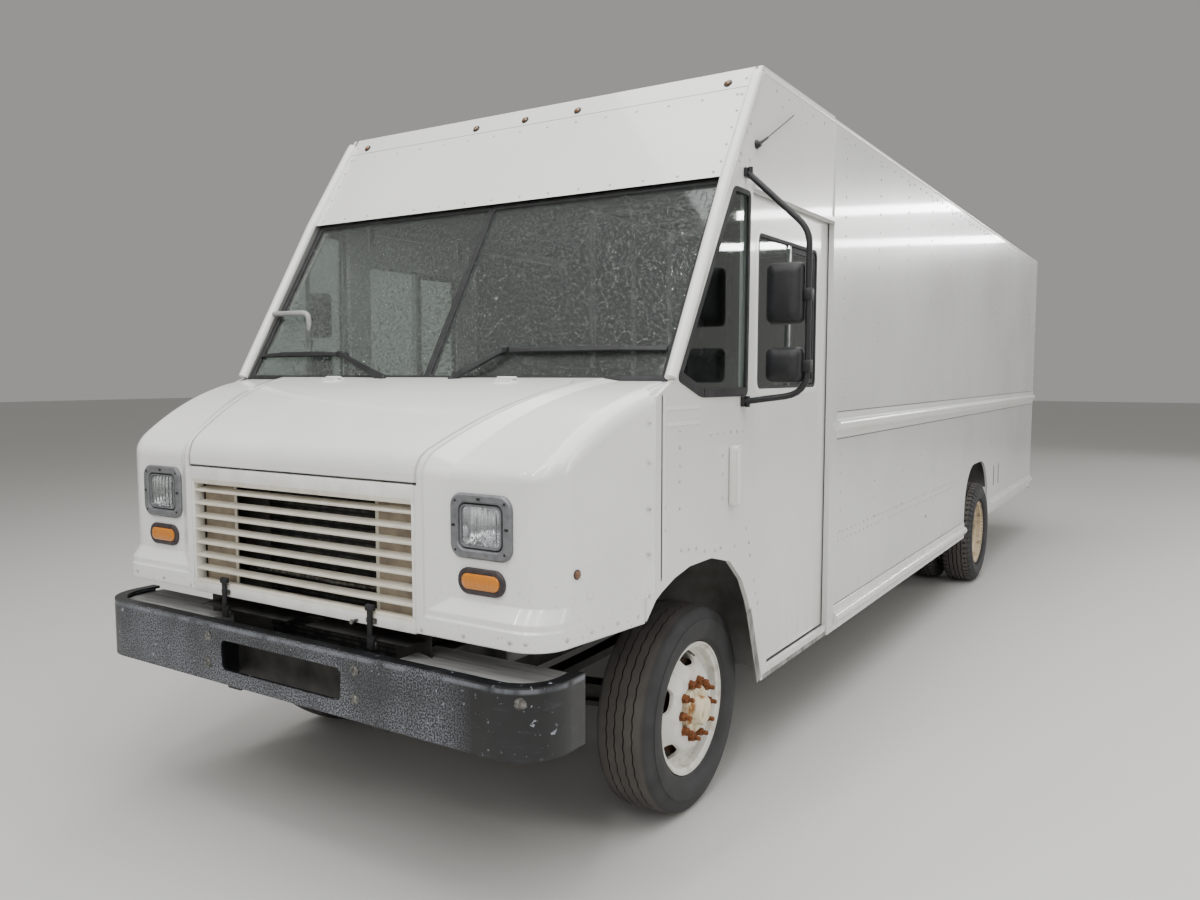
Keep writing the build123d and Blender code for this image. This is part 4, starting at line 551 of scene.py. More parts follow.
def turned(shape, profile, centre, axis, steps=24):
    """Turn a profile of (along, radius) pairs in millimetres about an axis through a point."""
    centre = spot(centre)
    axis = Vector(axis).normalized()
    side = axis.orthogonal().normalized()
    other = axis.cross(side)
    turns = [2 * math.pi * number / steps for number in range(steps)]
    rings = []
    for along, radius in profile:
        middle = centre + axis * (along / 1000)
        if radius < 0.001:
            rings.append([shape.verts.new(middle)])
        else:
            spokes = [side * math.cos(turn) + other * math.sin(turn) for turn in turns]
            rings.append([shape.verts.new(middle + spoke * (radius / 1000)) for spoke in spokes])
    for first, second in zip(rings, rings[1:]):
        for number in range(steps):
            after = (number + 1) % steps
            if len(first) == 1 and len(second) == 1:
                continue
            if len(first) == 1:
                shape.faces.new((first[0], second[number], second[after]))
            elif len(second) == 1:
                shape.faces.new((first[number], first[after], second[0]))
            else:
                shape.faces.new((first[number], first[after], second[after], second[number]))


def rivet_heads(shape, points, outward, radius=7.5):
    """Low round rivet heads at points, facing outward."""
    for point in points:
        turned(shape, [(-0.5, radius), (1.6, radius * 0.94), (3.6, radius * 0.6), (4.2, 0)], point, outward, 8)


print("turning helpers ready")

# %% Skins
BOTH, BACK, OPEN = (True, True), (True, False), (False, False)


def skin(shape, outlines, caps=BOTH, ring=False):
    """Join a stack of outlines with the same number of points, with caps at its ends or as a closed ring."""
    rows = [[shape.verts.new(point) for point in outline] for outline in outlines]
    for first, second in zip(rows, rows[1:] + rows[:1] if ring else rows[1:]):
        for number in range(len(first)):
            after = (number + 1) % len(first)
            shape.faces.new((first[number], first[after], second[after], second[number]))
    if caps[0] and not ring:
        shape.faces.new(rows[0])
    if caps[1] and not ring:
        shape.faces.new(list(reversed(rows[-1])))


print("skin helper ready")


# %% Tubes and bars
def bent_tube(name, points, radius, finish, slot, body="body", node=None, smooth=False):
    """A round tube along points, as a curve with a bevel. The radius is in millimetres."""
    data = bpy.data.curves.new(name, "CURVE")
    data.dimensions = "3D"
    data.bevel_depth = radius / 1000
    data.bevel_resolution = 4
    data.use_fill_caps = True
    line = data.splines.new("NURBS" if smooth else "POLY")
    line.points.add(len(points) - 1)
    for knot, point in zip(line.points, points):
        knot.co = (*spot(point), 1.0)
    if smooth:
        line.order_u = 3
        line.use_endpoint_u = True
        line.resolution_u = 6
    data.materials.append(finish)
    return mount(bpy.data.objects.new(name, data), body, node)


def bar_between(shape, start, end, width, thick, up):
    """A flat bar between two points, with its flat side facing up; width may taper as a pair."""
    start, end, up = spot(start), spot(end), Vector(up)
    along = (end - start).normalized()
    up = (up - along * up.dot(along)).normalized()
    across = along.cross(up)
    ends = []
    for point, breadth in zip((start, end), width if isinstance(width, tuple) else (width, width)):
        half, rise = breadth / 2000, thick / 2000
        edge = min(half, rise) * 0.6
        outline = [(-half, -rise), (half, -rise), (half, rise - edge), (half - edge, rise),
                   (edge - half, rise), (-half, rise - edge)]
        ends.append([point + across * u + up * v for u, v in outline])
    skin(shape, ends)


print("bar helpers ready")


# %% Lofts of rounded outlines
def rounded_outline(half_x, half_z, radius, steps=6):
    """Points round a rectangle with round corners, as (x, z)."""
    points = []
    for cx, cz, start in ((1, 1, 0), (-1, 1, 90), (-1, -1, 180), (1, -1, 270)):
        for number in range(steps + 1):
            a = math.radians(start + 90 * number / steps)
            x, z = cx * (half_x - radius) + radius * math.cos(a), cz * (half_z - radius) + radius * math.sin(a)
            points.append((x, z))
    return points


def loft(shape, centre, rings, caps=BOTH):
    """Skin a stack of rounded outlines. Each ring is (depth towards the front, half width, half height, radius)."""
    centre = spot(centre)
    outlines = []
    for depth, half_x, half_z, radius in rings:
        outline = rounded_outline(half_x / 1000, half_z / 1000, radius / 1000)
        outlines.append([centre + Vector((x, -depth / 1000, z)) for x, z in outline])
    skin(shape, outlines, caps)


print("loft helpers ready")

# %% [markdown]
# ## Tyres
#
# The front tyres have five long ribs parted by four thin wavy grooves, and the rear ones have open
# shoulder lugs for grip in snow. Both share one carcass. The carcass is a profile turned about the axle.
# The grooves are rows of that profile set deeper, and the rows sway sideways round the tyre for the wave.
# For the lugs, some steps round the tyre are set deeper at the shoulders.

# %% Outline of the carcass
# As (sideways, radius) in millimetres, from the middle of the tread to the bead
SHOULDER = [(94, 411.5), (100, 409), (105.5, 402), (110, 391)]
SIDEWALL = [(115, 377), (119.5, 362), (121, 360.5), (122.5, 361), (123.6, 350), (124, 338), (123, 322), (120.5, 307)]
LOWER_WALL = [(116, 294), (111, 284), (108.5, 283), (105, 279), (97, 271.5), (88, 266.8), (82, 266)]


def crown(side):
    """Radius of the tread at a distance from its middle."""
    return 419.0 - 7.0 * (side / 92.0) ** 2


def tread_rows(grooves, width, depth):
    """Rows of half a tread with square grooves, as (sideways, groove depth)."""
    rows = [(0.0, 0.0)]
    for middle in grooves:
        a, b = middle - width / 2, middle + width / 2
        rows += [(a - 3.0, 0.0), (a, 0.0), (a + 0.8, depth), (b - 0.8, depth), (b, 0.0), (b + 3.0, 0.0)]
    return rows


print("points in half a carcass:", len(SHOULDER + SIDEWALL + LOWER_WALL))


# %% Build the tyres
def tyre_mesh(name, grooves, width, depth, sway, waves, lugs, lug_depth):
    """One tyre about its own origin, with the axle along X."""
    half = [(x, crown(x) - cut, 1.0 if x < 90 else 0.0) for x, cut in tread_rows(grooves, width, depth)]
    half += [(x, r, 0.0) for x, r in SHOULDER + SIDEWALL + LOWER_WALL]
    rows = [(-x, r, s) for x, r, s in reversed(half[1:])] + half
    angles = [number / 240 for number in range(240)]
    if lugs:
        angles = [(number + part) / lugs for number in range(lugs) for part in (0.0, 0.04, 0.34, 0.38)]
    outlines = []
    for step, turn in enumerate(angles):
        outline = []
        a = turn * 2 * math.pi
        cut_here = lugs and step % 4 in (1, 2)
        for x, r, swaying in rows:
            side = x + swaying * sway * math.sin(a * waves)
            deep = 0.0
            if cut_here and 58 < abs(x) < 112:
                deep = lug_depth
            if cut_here and abs(x) >= 112 and r > 370:
                deep = lug_depth * 0.5
            radius = (r - deep) / 1000
            outline.append((side / 1000, radius * math.sin(a), radius * math.cos(a)))
        outlines.append(outline)
    shape = bmesh.new()
    skin(shape, outlines, ring=True)
    return smooth_mesh(name, shape, tyre_rubber, 40)


ribbed = tyre_mesh("ribbed_tyre", [19.0, 55.0], 6.0, 9.0, 2.2, 46, 0, 0)
lugged = tyre_mesh("lugged_tyre", [16.0, 50.0], 8.0, 12.0, 3.0, 28, 56, 13.0)
FRONT_MIDDLE = 0.950
TWIN_OUTER = 1.088
TWIN_INNER = 1.088 - 0.2883
for side, name in SIDES:
    for label, mesh, x, y, body, node in (
        ("front_%s_ribbed_tyre", ribbed, FRONT_MIDDLE, FRONT_AXLE, "front_%s_wheel", "front_%s_tyre"),
        ("rear_%s_outer_tyre", lugged, TWIN_OUTER, REAR_AXLE, "rear_%s_wheels", "rear_%s_tyres"),
        ("rear_%s_inner_tyre", lugged, TWIN_INNER, REAR_AXLE, "rear_%s_wheels", "rear_%s_tyres"),
    ):
        tyre = bpy.data.objects.new(label % name, mesh)
        tyre.location = (side * x, y, AXLE_HEIGHT)
        mount(tyre, body % name, node % name)
print("faces in a ribbed and a lugged tyre:", len(ribbed.polygons), len(lugged.polygons))

# %% [markdown]
# ## Headlights and turn signals
#
# Each headlight is a square sealed beam of pressed glass in a grey die-cast bezel with three notches.
# The bezel is a rounded ring and the reflector a shallow bright dish behind a slightly bulged lens.
# The turn signal below it is a ribbed amber oval in a dark bezel held by two screws.

# %% Zinc, reflector and bezel finishes
bezel_zinc = mottled("weathered_zinc_die_casting", ("#77787A", 0.42, 0.3),
                     (26, 4), (0.4, 0.75), ("#7B7C7F", "#66676A"), (6, 4), 0.2)
signal_bezel = mottled("brown_grey_abs_bezel", ("#3B3234", 0.5), (20, 4), (0.35, 0.7), ("#2E2729", "#443A3B"))
dull_steel = mottled("dull_zinc_plated_steel", ("#7C7B77", 0.45, 0.9),
                     (15, 4), (0.35, 0.65), ("#8C8B87", "#4A4743"), (4, 3), 0.15)
reflector, tree, shader = new_finish("vacuum_plated_reflector", "#E6E8E9", 0.17, 1.0)
# Beam-shaping flutes pressed in the back of the lens read as soft bright bands about 14 mm apart.
relief(tree, shader, stripes(tree, "X", 14, {"Distortion": 1.5, "Detail": 1.0}), 4.0)
print("materials:", len(bpy.data.materials))

# %% Build the headlights
LAMP_X = 838
LAMP_STATION = -1110
LAMP_Z = 1288
for side, name in SIDES:
    lamp = (side * LAMP_X, LAMP_STATION, LAMP_Z)
    shape = bmesh.new()
    loft(shape, lamp, [
        (0.4, 124, 104, 44), (7, 124, 104, 44), (12.5, 118, 98, 40), (13, 95, 80, 30), (9, 90, 75, 27), (2, 88, 73, 26),
    ], OPEN)
    loft(shape, lamp, [
        (2, 84, 69, 23), (8.5, 83.5, 68.5, 23), (9.5, 77, 64, 20), (5, 75, 62, 18), (-4, 74, 61, 18),
    ], OPEN)
    finish_piece("headlight_bezel_" + name, shape, bezel_zinc, "lamp_clear", node="headlights")
    shape = bmesh.new()
    loft(shape, lamp, [(-5, 92, 77, 28), (2.5, 91, 76, 28), (2.5, 82, 67, 22), (-5, 81, 66, 22)], OPEN)
    for x, z in ((-4, 88), (-107, 0), (107, 0)):
        x, z = side * LAMP_X + x, LAMP_Z + z
        block(shape, (x - 7, x + 7), (LAMP_STATION - 14.5, LAMP_STATION - 11), (z - 4, z + 4), 1)
    for x, z in ((99, 79), (-99, 79), (99, -79), (-99, -79)):
        screw = (side * LAMP_X + x, LAMP_STATION, LAMP_Z + z)
        turned(shape, [(11, 4.5), (14.2, 4), (14.5, 0)], screw, (0, -1, 0), 10)
    finish_piece("headlight_gasket_" + name, shape, seal_rubber, "black_rubber", node="headlights")
    shape = bmesh.new()
    loft(shape, lamp, [(-55, 20, 16, 12), (-45, 44, 36, 20), (-24, 66, 53, 20), (-1, 75, 62, 18)], BACK)
    finish_piece("headlight_reflector_" + name, shape, reflector, "lamp_clear", node="headlights")
    shape = bmesh.new()
    loft(shape, lamp, [(-1, 75, 62, 18), (5, 75, 62, 18), (9, 68, 55, 16), (11, 44, 34, 14), (12, 10, 8, 7)])
    finish_piece("headlight_lens_" + name, shape, lamp_glass, "lamp_clear", node="headlights")
print("headlights built")

# %% Build the turn signals
SIGNAL_Z = 1112
for side, name in SIDES:
    signal = (side * LAMP_X, LAMP_STATION, SIGNAL_Z)
    shape = bmesh.new()
    loft(shape, signal, [
        (0.4, 95, 43, 42), (7, 95, 43, 42), (10.5, 90, 38, 37), (10.5, 78, 27, 26), (6, 76, 25, 24),
    ], BACK)
    for x in (-84, 84):
        screw = (side * LAMP_X + x, LAMP_STATION, SIGNAL_Z)
        turned(shape, [(9, 5), (12.5, 4.5), (13, 0)], screw, (0, -1, 0), 10)
    finish_piece("turn_signal_bezel_" + name, shape, signal_bezel, "lamp_amber", node="turn_signals")
    shape = bmesh.new()
    loft(shape, signal, [(0.4, 76, 25, 24), (12, 76, 25, 24), (15.5, 70, 20, 19)])
    for number in range(8):
        x = side * LAMP_X - 56 + 16 * number
        heights = (SIGNAL_Z - 17, SIGNAL_Z + 17)
        block(shape, (x - 3, x + 3), (LAMP_STATION - 16.4, LAMP_STATION - 14), heights, 1, 1)
    finish_piece("turn_signal_lens_" + name, shape, amber_lens, "lamp_amber", node="turn_signals")
print("turn signals built")

# %% [markdown]
# ## Rivets
#
# The body is aluminium sheet riveted to hidden ribs, so columns of rivet heads mark every rib.
# The heads stand 4 mm proud, and each head is painted a shade darker than the wall, a painted shade that makes it show.
# They are one mesh for each panel, which keeps the number of objects low. The rows follow a table of stations and
# heights, and the other side is its mirror image.

# %% Rivet columns and rows
rib_stations = [1390 + 610 * number for number in range(12)]
upper_heights = [1650, 1750, 1855, 1955, 2055, 2155, 2254, 2360, 2466, 2560, 2660, 2760, 2850, 2925]
lower_heights = [1350, 1255, 1155, 1060]
ARCH_REACH = (4400, 5700)  # stations between which the rear wheel arch cuts the lowest rows
cargo_rivets = []
for station in rib_stations:
    low_rows = [] if ARCH_REACH[0] < station < ARCH_REACH[1] else [950]
    cargo_rivets += [(station, z) for z in upper_heights + lower_heights + low_rows]
cargo_rivets += [(y, z) for y in range(1360, 4360, 75) for z in (945, 902)]
cargo_rivets += [(y, 2945) for y in range(1360, 8060, 152)]

nose_rivets = [(-635, z) for z in (1604, 1470, 1312, 1158, 1016)]
cab_rivets = [(-530, z) for z in (1565, 1304, 1224)] + [(-418, z) for z in (1568, 1506, 1443, 1385, 1288)]
cab_rivets += [(y, 1540) for y in (-169, -110, -50, 10, 70, 125)]
# Round the grab handle
cab_rivets += [(-60, 1453), (-60, 1379), (-60, 1286), (125, 1449), (125, 1398), (125, 1315), (125, 1264)]
# Over the front arch, then along the door
cab_rivets += [(-403, 1135), (-345, 1130), (-283, 1123), (-213, 1101), (-122, 1089), (-72, 1091), (60, 1078)]
cab_rivets += [(175, 1135), (203, 1069), (217, 1014), (260, 900), (281, 842), (304, 794)]
# On the pillar and under the roof
cab_rivets += [(171, 2758), (136, 2722), (79, 2625), (68, 2594), (164, 2617), (500, 2900), (800, 2900)]
cab_rivets += [(y, 2950) for y in range(430, 1180, 150)]

# Rivet heads are painted a shade darker than the walls round them: painted shade that makes them stand out.
rivet_enamel = mottled("rivet_white_enamel_darkened_as_painted_shade", ("#CBCAC4", 0.3), (30, 3), (0.4, 0.7), ("#C6C5BF", "#A6A49D"))
for side, name in SIDES:
    for label, pairs, slot in (
        ("cargo", cargo_rivets, "white_paint"), ("cab", cab_rivets, "white_paint"),
        ("nose", nose_rivets, "white_moulding"),
    ):
        shape = bmesh.new()
        rivet_heads(shape, [(side * (WALL + 0.3), y, z) for y, z in pairs], (side, 0, 0))
        finish_piece("rivets_%s_%s" % (label, name), shape, rivet_enamel, slot)
print("rivet heads on a side:", len(cargo_rivets + cab_rivets + nose_rivets))

# %% [markdown]
# ## Clearance lights, latches and bolts
#
# Five small amber lamps mark the roof's front edge. Two rubber straps hold the grille, and round-headed bolts
# hold the bumper. These are small, so each is a rounded block or a turned profile, set where the drawing has it.

# %% Clearance lights on the header
HEADER_FOOT = (-21.0, 2524.0)
HEADER_TOP = (286.5, 3014.0)
header_rise = HEADER_TOP[1] - HEADER_FOOT[1]
header_run = HEADER_TOP[0] - HEADER_FOOT[0]
HEADER_OUT = Vector((0, -header_rise, header_run)).normalized()


def on_header(x, height, clear=0.0):
    """A point on the header, from millimetres."""
    station = HEADER_FOOT[0] + header_run * (height - HEADER_FOOT[1]) / header_rise
    return place(x, station, height) + HEADER_OUT * clear / 1000


# Old acrylic goes brown in the sun, so these lenses are darker than the turn signals.
aged_amber = mottled("sun_browned_amber_acrylic", ("#6E4B2C", 0.2),
                     (9, 3), (0.4, 0.7), ("#7A5230", "#4C3626"), more={"Coat Weight": 0.4})
ring_profile = [(-4, 18.5), (3, 18.5), (4.5, 17), (4.5, 13.5), (2, 13)]
lens_profile = [(0, 13), (6, 12.8), (9.5, 10), (11.5, 5), (12, 0)]
for number, x in enumerate((-1038, -296, 0, 296, 1038)):
    for label, profile, finish, slot in (
        ("ring", ring_profile, black_moulding, "black_plastic"), ("lens", lens_profile, aged_amber, "lamp_amber"),
    ):
        shape = bmesh.new()
        turned(shape, profile, on_header(x, 2954), HEADER_OUT)
        finish_piece("clearance_%s_%d" % (label, number), shape, finish, slot)
print("clearance lights: 5")

# %% Strap latches of the grille and bolts of the bumper
shape = bmesh.new()
metal = bmesh.new()
for x in (-390, 390):
    for target, half, stations, heights, radius in (
        (shape, 11, (-1168, -1158), (872, 985), 4), (shape, 20, (-1170, -1152), (968, 992), 6),
        (shape, 15, (-1166, -1148), (836, 884), 5), (metal, 24, (-1160, -1152), (926, 944), 3),
        (metal, 17, (-1156, -1140), (838, 862), 3),
    ):
        block(target, (x - half, x + half), stations, heights, radius)
finish_piece("grille_straps", shape, seal_rubber, "black_rubber")
bolt = [(-2, 19), (2, 19), (2, 13), (4, 12), (5.5, 6), (5.7, 0)]
for x, z in ((-395, 782), (-401, 678), (390, 782), (387, 684)):
    turned(metal, bolt, (x, -1235, z), (0, -1, 0), 14)
BEND_X = 967
BEND_STATION = -1060
BEND_RADIUS = 175
BEND_Z = 790
for side, turn in ((1, 32), (-1, 80)):
    a = math.radians(turn)
    outward = Vector((side * math.sin(a), -math.cos(a), 0))
    turned(metal, bolt, place(side * BEND_X, BEND_STATION, BEND_Z) + outward * BEND_RADIUS / 1000, outward, 14)
finish_piece("bumper_bolts_and_strap_lugs", metal, dull_steel, "black_plastic")
shape = bmesh.new()
turned(shape, [(0, 6), (22, 6), (24, 9), (30, 8), (31, 0)], (318, -1152, 925), (0, -1, 0), 10)
finish_piece("grille_lock_pin", shape, dull_steel, "black_plastic")
print("latches and bolts built")

# %% [markdown]
# ## Corner mouldings and seams
#
# A rounded extrusion covers each joint of the cab: down the windscreen pillar, along the roof's edge
# and over the door. A half-round tube pressed onto the corner gives the right highlight.
# Joints between sheets show as thin dark lines, which are narrow strips of sealant.

# %% Mouldings along the corners
shape = bmesh.new()
for side, name in SIDES:
    pillar_line = [(side * 1164, y, z) for y, z in ((-470, 1752), (-30, 2524), (242, 2950), (262, 2976))]
    bent_tube("pillar_moulding_" + name, pillar_line, 23, panel_enamel, "white_paint")
    roof_line = [(side * 1160, y, 2994) for y in (300, 4200, 8120)]
    bent_tube("roof_edge_moulding_" + name, roof_line, 18.5, panel_enamel, "white_paint")
    for z, far in ((1574, 8050), (1433, 8050), (572, 4440)):
        block(shape, (side * (WALL - 0.4), side * (WALL + 1.2)), (1292, far), (z - 1.5, z + 1.5), 0.4, 1)
finish_piece("sealant_seams", shape, seal_rubber, "black_rubber")
print("mouldings and seams built")

# %% [markdown]
# ## Mirrors
#
# Each mirror is a pair of moulded black heads clamped to a bent steel tube that stands off the door pillar.
# A tube bent along points makes the arm. A head is a loft that narrows towards its back, with silvered glass
# on the side that faces the driver.


# %% Build the mirrors
def curve_between(corner, a, b, steps):
    """Points of a smooth bend, from a corner and its offsets to both ends."""
    shares = [number / steps for number in range(steps + 1)]
    return [corner + a * (1 - t) ** 2 + b * t ** 2 for t in shares]


def arc_points(corner, before, after, radius):
    """Points of a round bend at a corner between two runs."""
    return curve_between(corner, (before - corner).normalized() * radius, (after - corner).normalized() * radius, 6)


silvered_glass = new_finish("silvered_mirror_glass", "#E6E9EA", 0.02, 1.0)[0]
for side, name in SIDES:
    top, high = place(side * 1186, 124, 2556), place(side * 1430, 160, 2322)
    foot, low = place(side * 1186, 120, 1656), place(side * 1430, 160, 1690)
    run = [top] + arc_points(high, top, low, 0.06) + arc_points(low, high, foot, 0.09) + [foot]
    bent_tube("mirror_arm_" + name, run, 12.5, black_moulding, "black_plastic", node="mirrors")
    shape = bmesh.new()
    against_wall = (side * (WALL + 0.6), side * (WALL + 14))
    block(shape, against_wall, (104, 146), (2540, 2576), 3)
    block(shape, against_wall, (100, 142), (1636, 1676), 3)
    for z in (2556, 1656):
        turned(shape, [(-22, 0), (-22, 10), (22, 10), (22, 0)], (side * 1196, 124, z), (0, 0, 1), 12)
    for z in (2075, 1798):
        block(shape, (side * 1430 - 17, side * 1430 + 17), (141, 180), (z - 24, z + 24), 6)
    finish_piece("mirror_brackets_" + name, shape, black_moulding, "black_plastic", node="mirrors")
    heads = bmesh.new()
    faces = bmesh.new()
    for bottom, upper in ((1960, 2202), (1730, 1873)):
        middle = (side * 1338, 150, (bottom + upper) / 2)
        half = (upper - bottom) / 2
        loft(heads, middle, [
            (-24, 70, half - 5, 20), (-26, 76, half - 1, 24), (-22, 78, half, 26), (2, 77, half - 1, 26),
            (18, 71, half - 7, 26), (27, 60, half - 18, 22), (33, 34, half - 40, 14),
        ])
        loft(faces, middle, [(-25, 68, half - 8, 18), (-27, 66, half - 10, 17)])
    finish_piece("mirror_heads_" + name, heads, black_moulding, "black_plastic", node="mirrors")
    finish_piece("mirror_glass_" + name, faces, silvered_glass, "black_plastic", node="mirrors")
print("mirrors built")

# %% [markdown]
# ## Front wheels
#
# The front wheels are steel discs that bulge outward, with five oval hand holes for the tyre chain and for
# cooling. The disc and its rim are one profile turned about the axle, and the holes are cut with a Boolean
# modifier, because an oval hole through a cone is hard to lay out by hand. The hub, the ten studs and their nuts
# are separate, since the studs have rusted to orange while the hub keeps its cream paint.

# %% Finishes of the hub
hub_enamel = mottled("cream_enamel_on_cast_hub", ("#D9CCAA", 0.45),
                     (34, 5, (1, 1, 0.5)), (0.50, 0.66), ("#DDD1B1", "#9A6B38"), (8, 4), 0.3)
rusty_steel = mottled("rusted_forged_steel", ("#8A4B22", 0.8, 0.2),
                      (9, 4), (0.35, 0.65), ("#96592F", "#55341E"), (3, 4), 0.4)
print("materials:", len(bpy.data.materials))


# %% Cut holes with a Boolean
def evaluated_mesh(made):
    """The mesh of an object with its modifiers applied."""
    bpy.context.view_layer.update()
    return bpy.data.meshes.new_from_object(made.evaluated_get(bpy.context.evaluated_depsgraph_get()))


def bored(shape, cutter):
    """Cut one editable mesh out of another, and give back what is left."""
    both = []
    for part in (shape, cutter):
        bmesh.ops.recalc_face_normals(part, faces=part.faces)
        mesh = bpy.data.meshes.new("bored")
        part.to_mesh(mesh)
        part.free()
        both.append(bpy.data.objects.new("bored", mesh))
        bpy.context.collection.objects.link(both[-1])
    cut = both[0].modifiers.new("holes", "BOOLEAN")
    cut.operation = "DIFFERENCE"
    cut.solver = "EXACT"
    cut.object = both[1]
    left = evaluated_mesh(both[0])
    for made in both:
        bpy.data.objects.remove(made)
    result = bmesh.new()
    result.from_mesh(left)
    bpy.data.meshes.remove(left)
    return result


def around_axle(centre, side, out, turn, radius):
    """A point beside a wheel's axle: outward, then round the axle from the top towards the rear."""
    a = math.radians(turn)
    return centre + Vector((side * out, radius * math.sin(a), radius * math.cos(a))) / 1000


print("boring helpers ready")

# %% Build the wheel discs
# The disc and rim as (outward, radius) in millimetres, down the outside and back along the inside
DISC = [
    (98, 266), (98, 258), (91, 256), (86, 243), (54, 240), (42, 229), (45, 217), (58, 203), (74, 187), (86, 176),
    (96, 166), (102, 157), (104, 148), (104, 110), (94, 110), (94, 146), (90, 156), (80, 166), (66, 178), (50, 193),
    (34, 209), (24, 221), (-36, 221), (-52, 239), (-86, 241), (-90, 257), (-98, 257), (-98, 266), (-88, 266),
    (-84, 250), (-45, 248), (-30, 230), (30, 230), (45, 248), (84, 250), (88, 266),
]
HAND_HOLES = 5
FIRST_HOLE = 292
HOLE_RADIUS = 195
for side, name in SIDES:
    centre = Vector((side * FRONT_MIDDLE, FRONT_AXLE, AXLE_HEIGHT))
    shape = bmesh.new()
    turned(shape, DISC + DISC[:1], centre, (side, 0, 0), 120)
    bmesh.ops.remove_doubles(shape, verts=shape.verts, dist=0.00001)
    cutter = bmesh.new()
    for number in range(HAND_HOLES):
        turn = FIRST_HOLE + 360 / HAND_HOLES * number
        a = math.radians(turn)
        along, inward = Vector((0, math.cos(a), -math.sin(a))), Vector((0, math.sin(a), math.cos(a)))
        middle = around_axle(centre, side, 0, turn, HOLE_RADIUS)
        oval = [middle + along * u + inward * v for u, v in rounded_outline(0.052, 0.0245, 0.024, 5)]
        skin(cutter, [[point + Vector((side * out / 1000, 0, 0)) for point in oval] for out in (20, 120)])
    finish_piece("front_%s_wheel_disc" % name, bored(shape, cutter), front_wheel_enamel, "wheel_white",
                 "front_%s_wheel" % name, "front_%s_rim" % name)
print("wheel discs built")

# %% Build the hubs, brakes and studs
HUB = [(93.6, 100), (116, 95), (122, 88), (123, 66), (132, 60), (146, 57), (156, 51), (160, 40), (161, 0)]
BRAKE_DISC = [(6, 60), (6, 190), (38, 190), (38, 84), (74, 84), (74, 138), (93, 138), (93, 60)]
HUB_SCREW = [(-2, 7.5), (6, 7.5), (7, 6), (7, 0)]
NUT = [(104, 20.5), (107, 20.5), (107, 17.5), (124, 17.5), (127, 14), (127, 9)]
THREAD = [(92, 9.5)]
for number in range(9):
    THREAD += [(127 + 2.5 * number, 9.5), (128.25 + 2.5 * number, 8.6)]
THREAD += [(150, 8), (152, 5), (152, 0)]
STUDS = 10
STUD_CIRCLE = 112.5
for side, name in SIDES:
    centre = Vector((side * FRONT_MIDDLE, FRONT_AXLE, AXLE_HEIGHT))
    outward = (side, 0, 0)
    hub, brake, studs = bmesh.new(), bmesh.new(), bmesh.new()
    turned(hub, HUB, centre, outward, 40)
    for number in range(8):
        turned(hub, HUB_SCREW, around_axle(centre, side, 122, 45 * number + 20, 77), outward, 6)
    turned(brake, BRAKE_DISC, centre, outward, 48)
    for number in range(STUDS):
        root = around_axle(centre, side, 0, 360 / STUDS * (number + 0.5), STUD_CIRCLE)
        turned(studs, THREAD, root, outward, 12)
        turned(studs, NUT, root, outward, 6)
    rides = ("front_%s_wheel" % name, "front_%s_rim" % name)
    finish_piece("front_%s_hub" % name, hub, hub_enamel, "wheel_white", *rides)
    finish_piece("front_%s_brake_disc" % name, brake, cast_iron, "cast", *rides)
    finish_piece("front_%s_studs" % name, studs, rusty_steel, "cast", *rides)
    stem = [around_axle(centre, side, out, FIRST_HOLE + 72, r) for out, r in ((30, 236), (70, 226), (98, 212))]
    bent_tube("front_%s_valve_stem" % name, stem, 4.5, dull_steel, "wheel_white", *rides)
print("front wheels built")

# %% [markdown]
# ## Wipers
#
# A wiper is a pivot on the cowl, a tapered arm that lies along the glass, and a blade: a thin steel bow
# that holds a rubber lip. The windscreen slopes, so every point is found from a height on its plane
# and a small distance off the glass.

# %% Build the wipers
SCREEN_FOOT = (-462.0, 1731.0)
SCREEN_HEAD = (9.0, 2524.0)
SCREEN_RUN = SCREEN_HEAD[0] - SCREEN_FOOT[0]
SCREEN_RISE = SCREEN_HEAD[1] - SCREEN_FOOT[1]
SCREEN_LENGTH = math.hypot(SCREEN_RUN, SCREEN_RISE)
SCREEN_OUT = Vector((0, -SCREEN_RISE, SCREEN_RUN)) / SCREEN_LENGTH


def on_screen(x, height, clear):
    """A point in front of the windscreen, from millimetres."""
    station = SCREEN_FOOT[0] + SCREEN_RUN * (height - SCREEN_FOOT[1]) / SCREEN_RISE
    return place(x, station, height) + SCREEN_OUT * clear / 1000


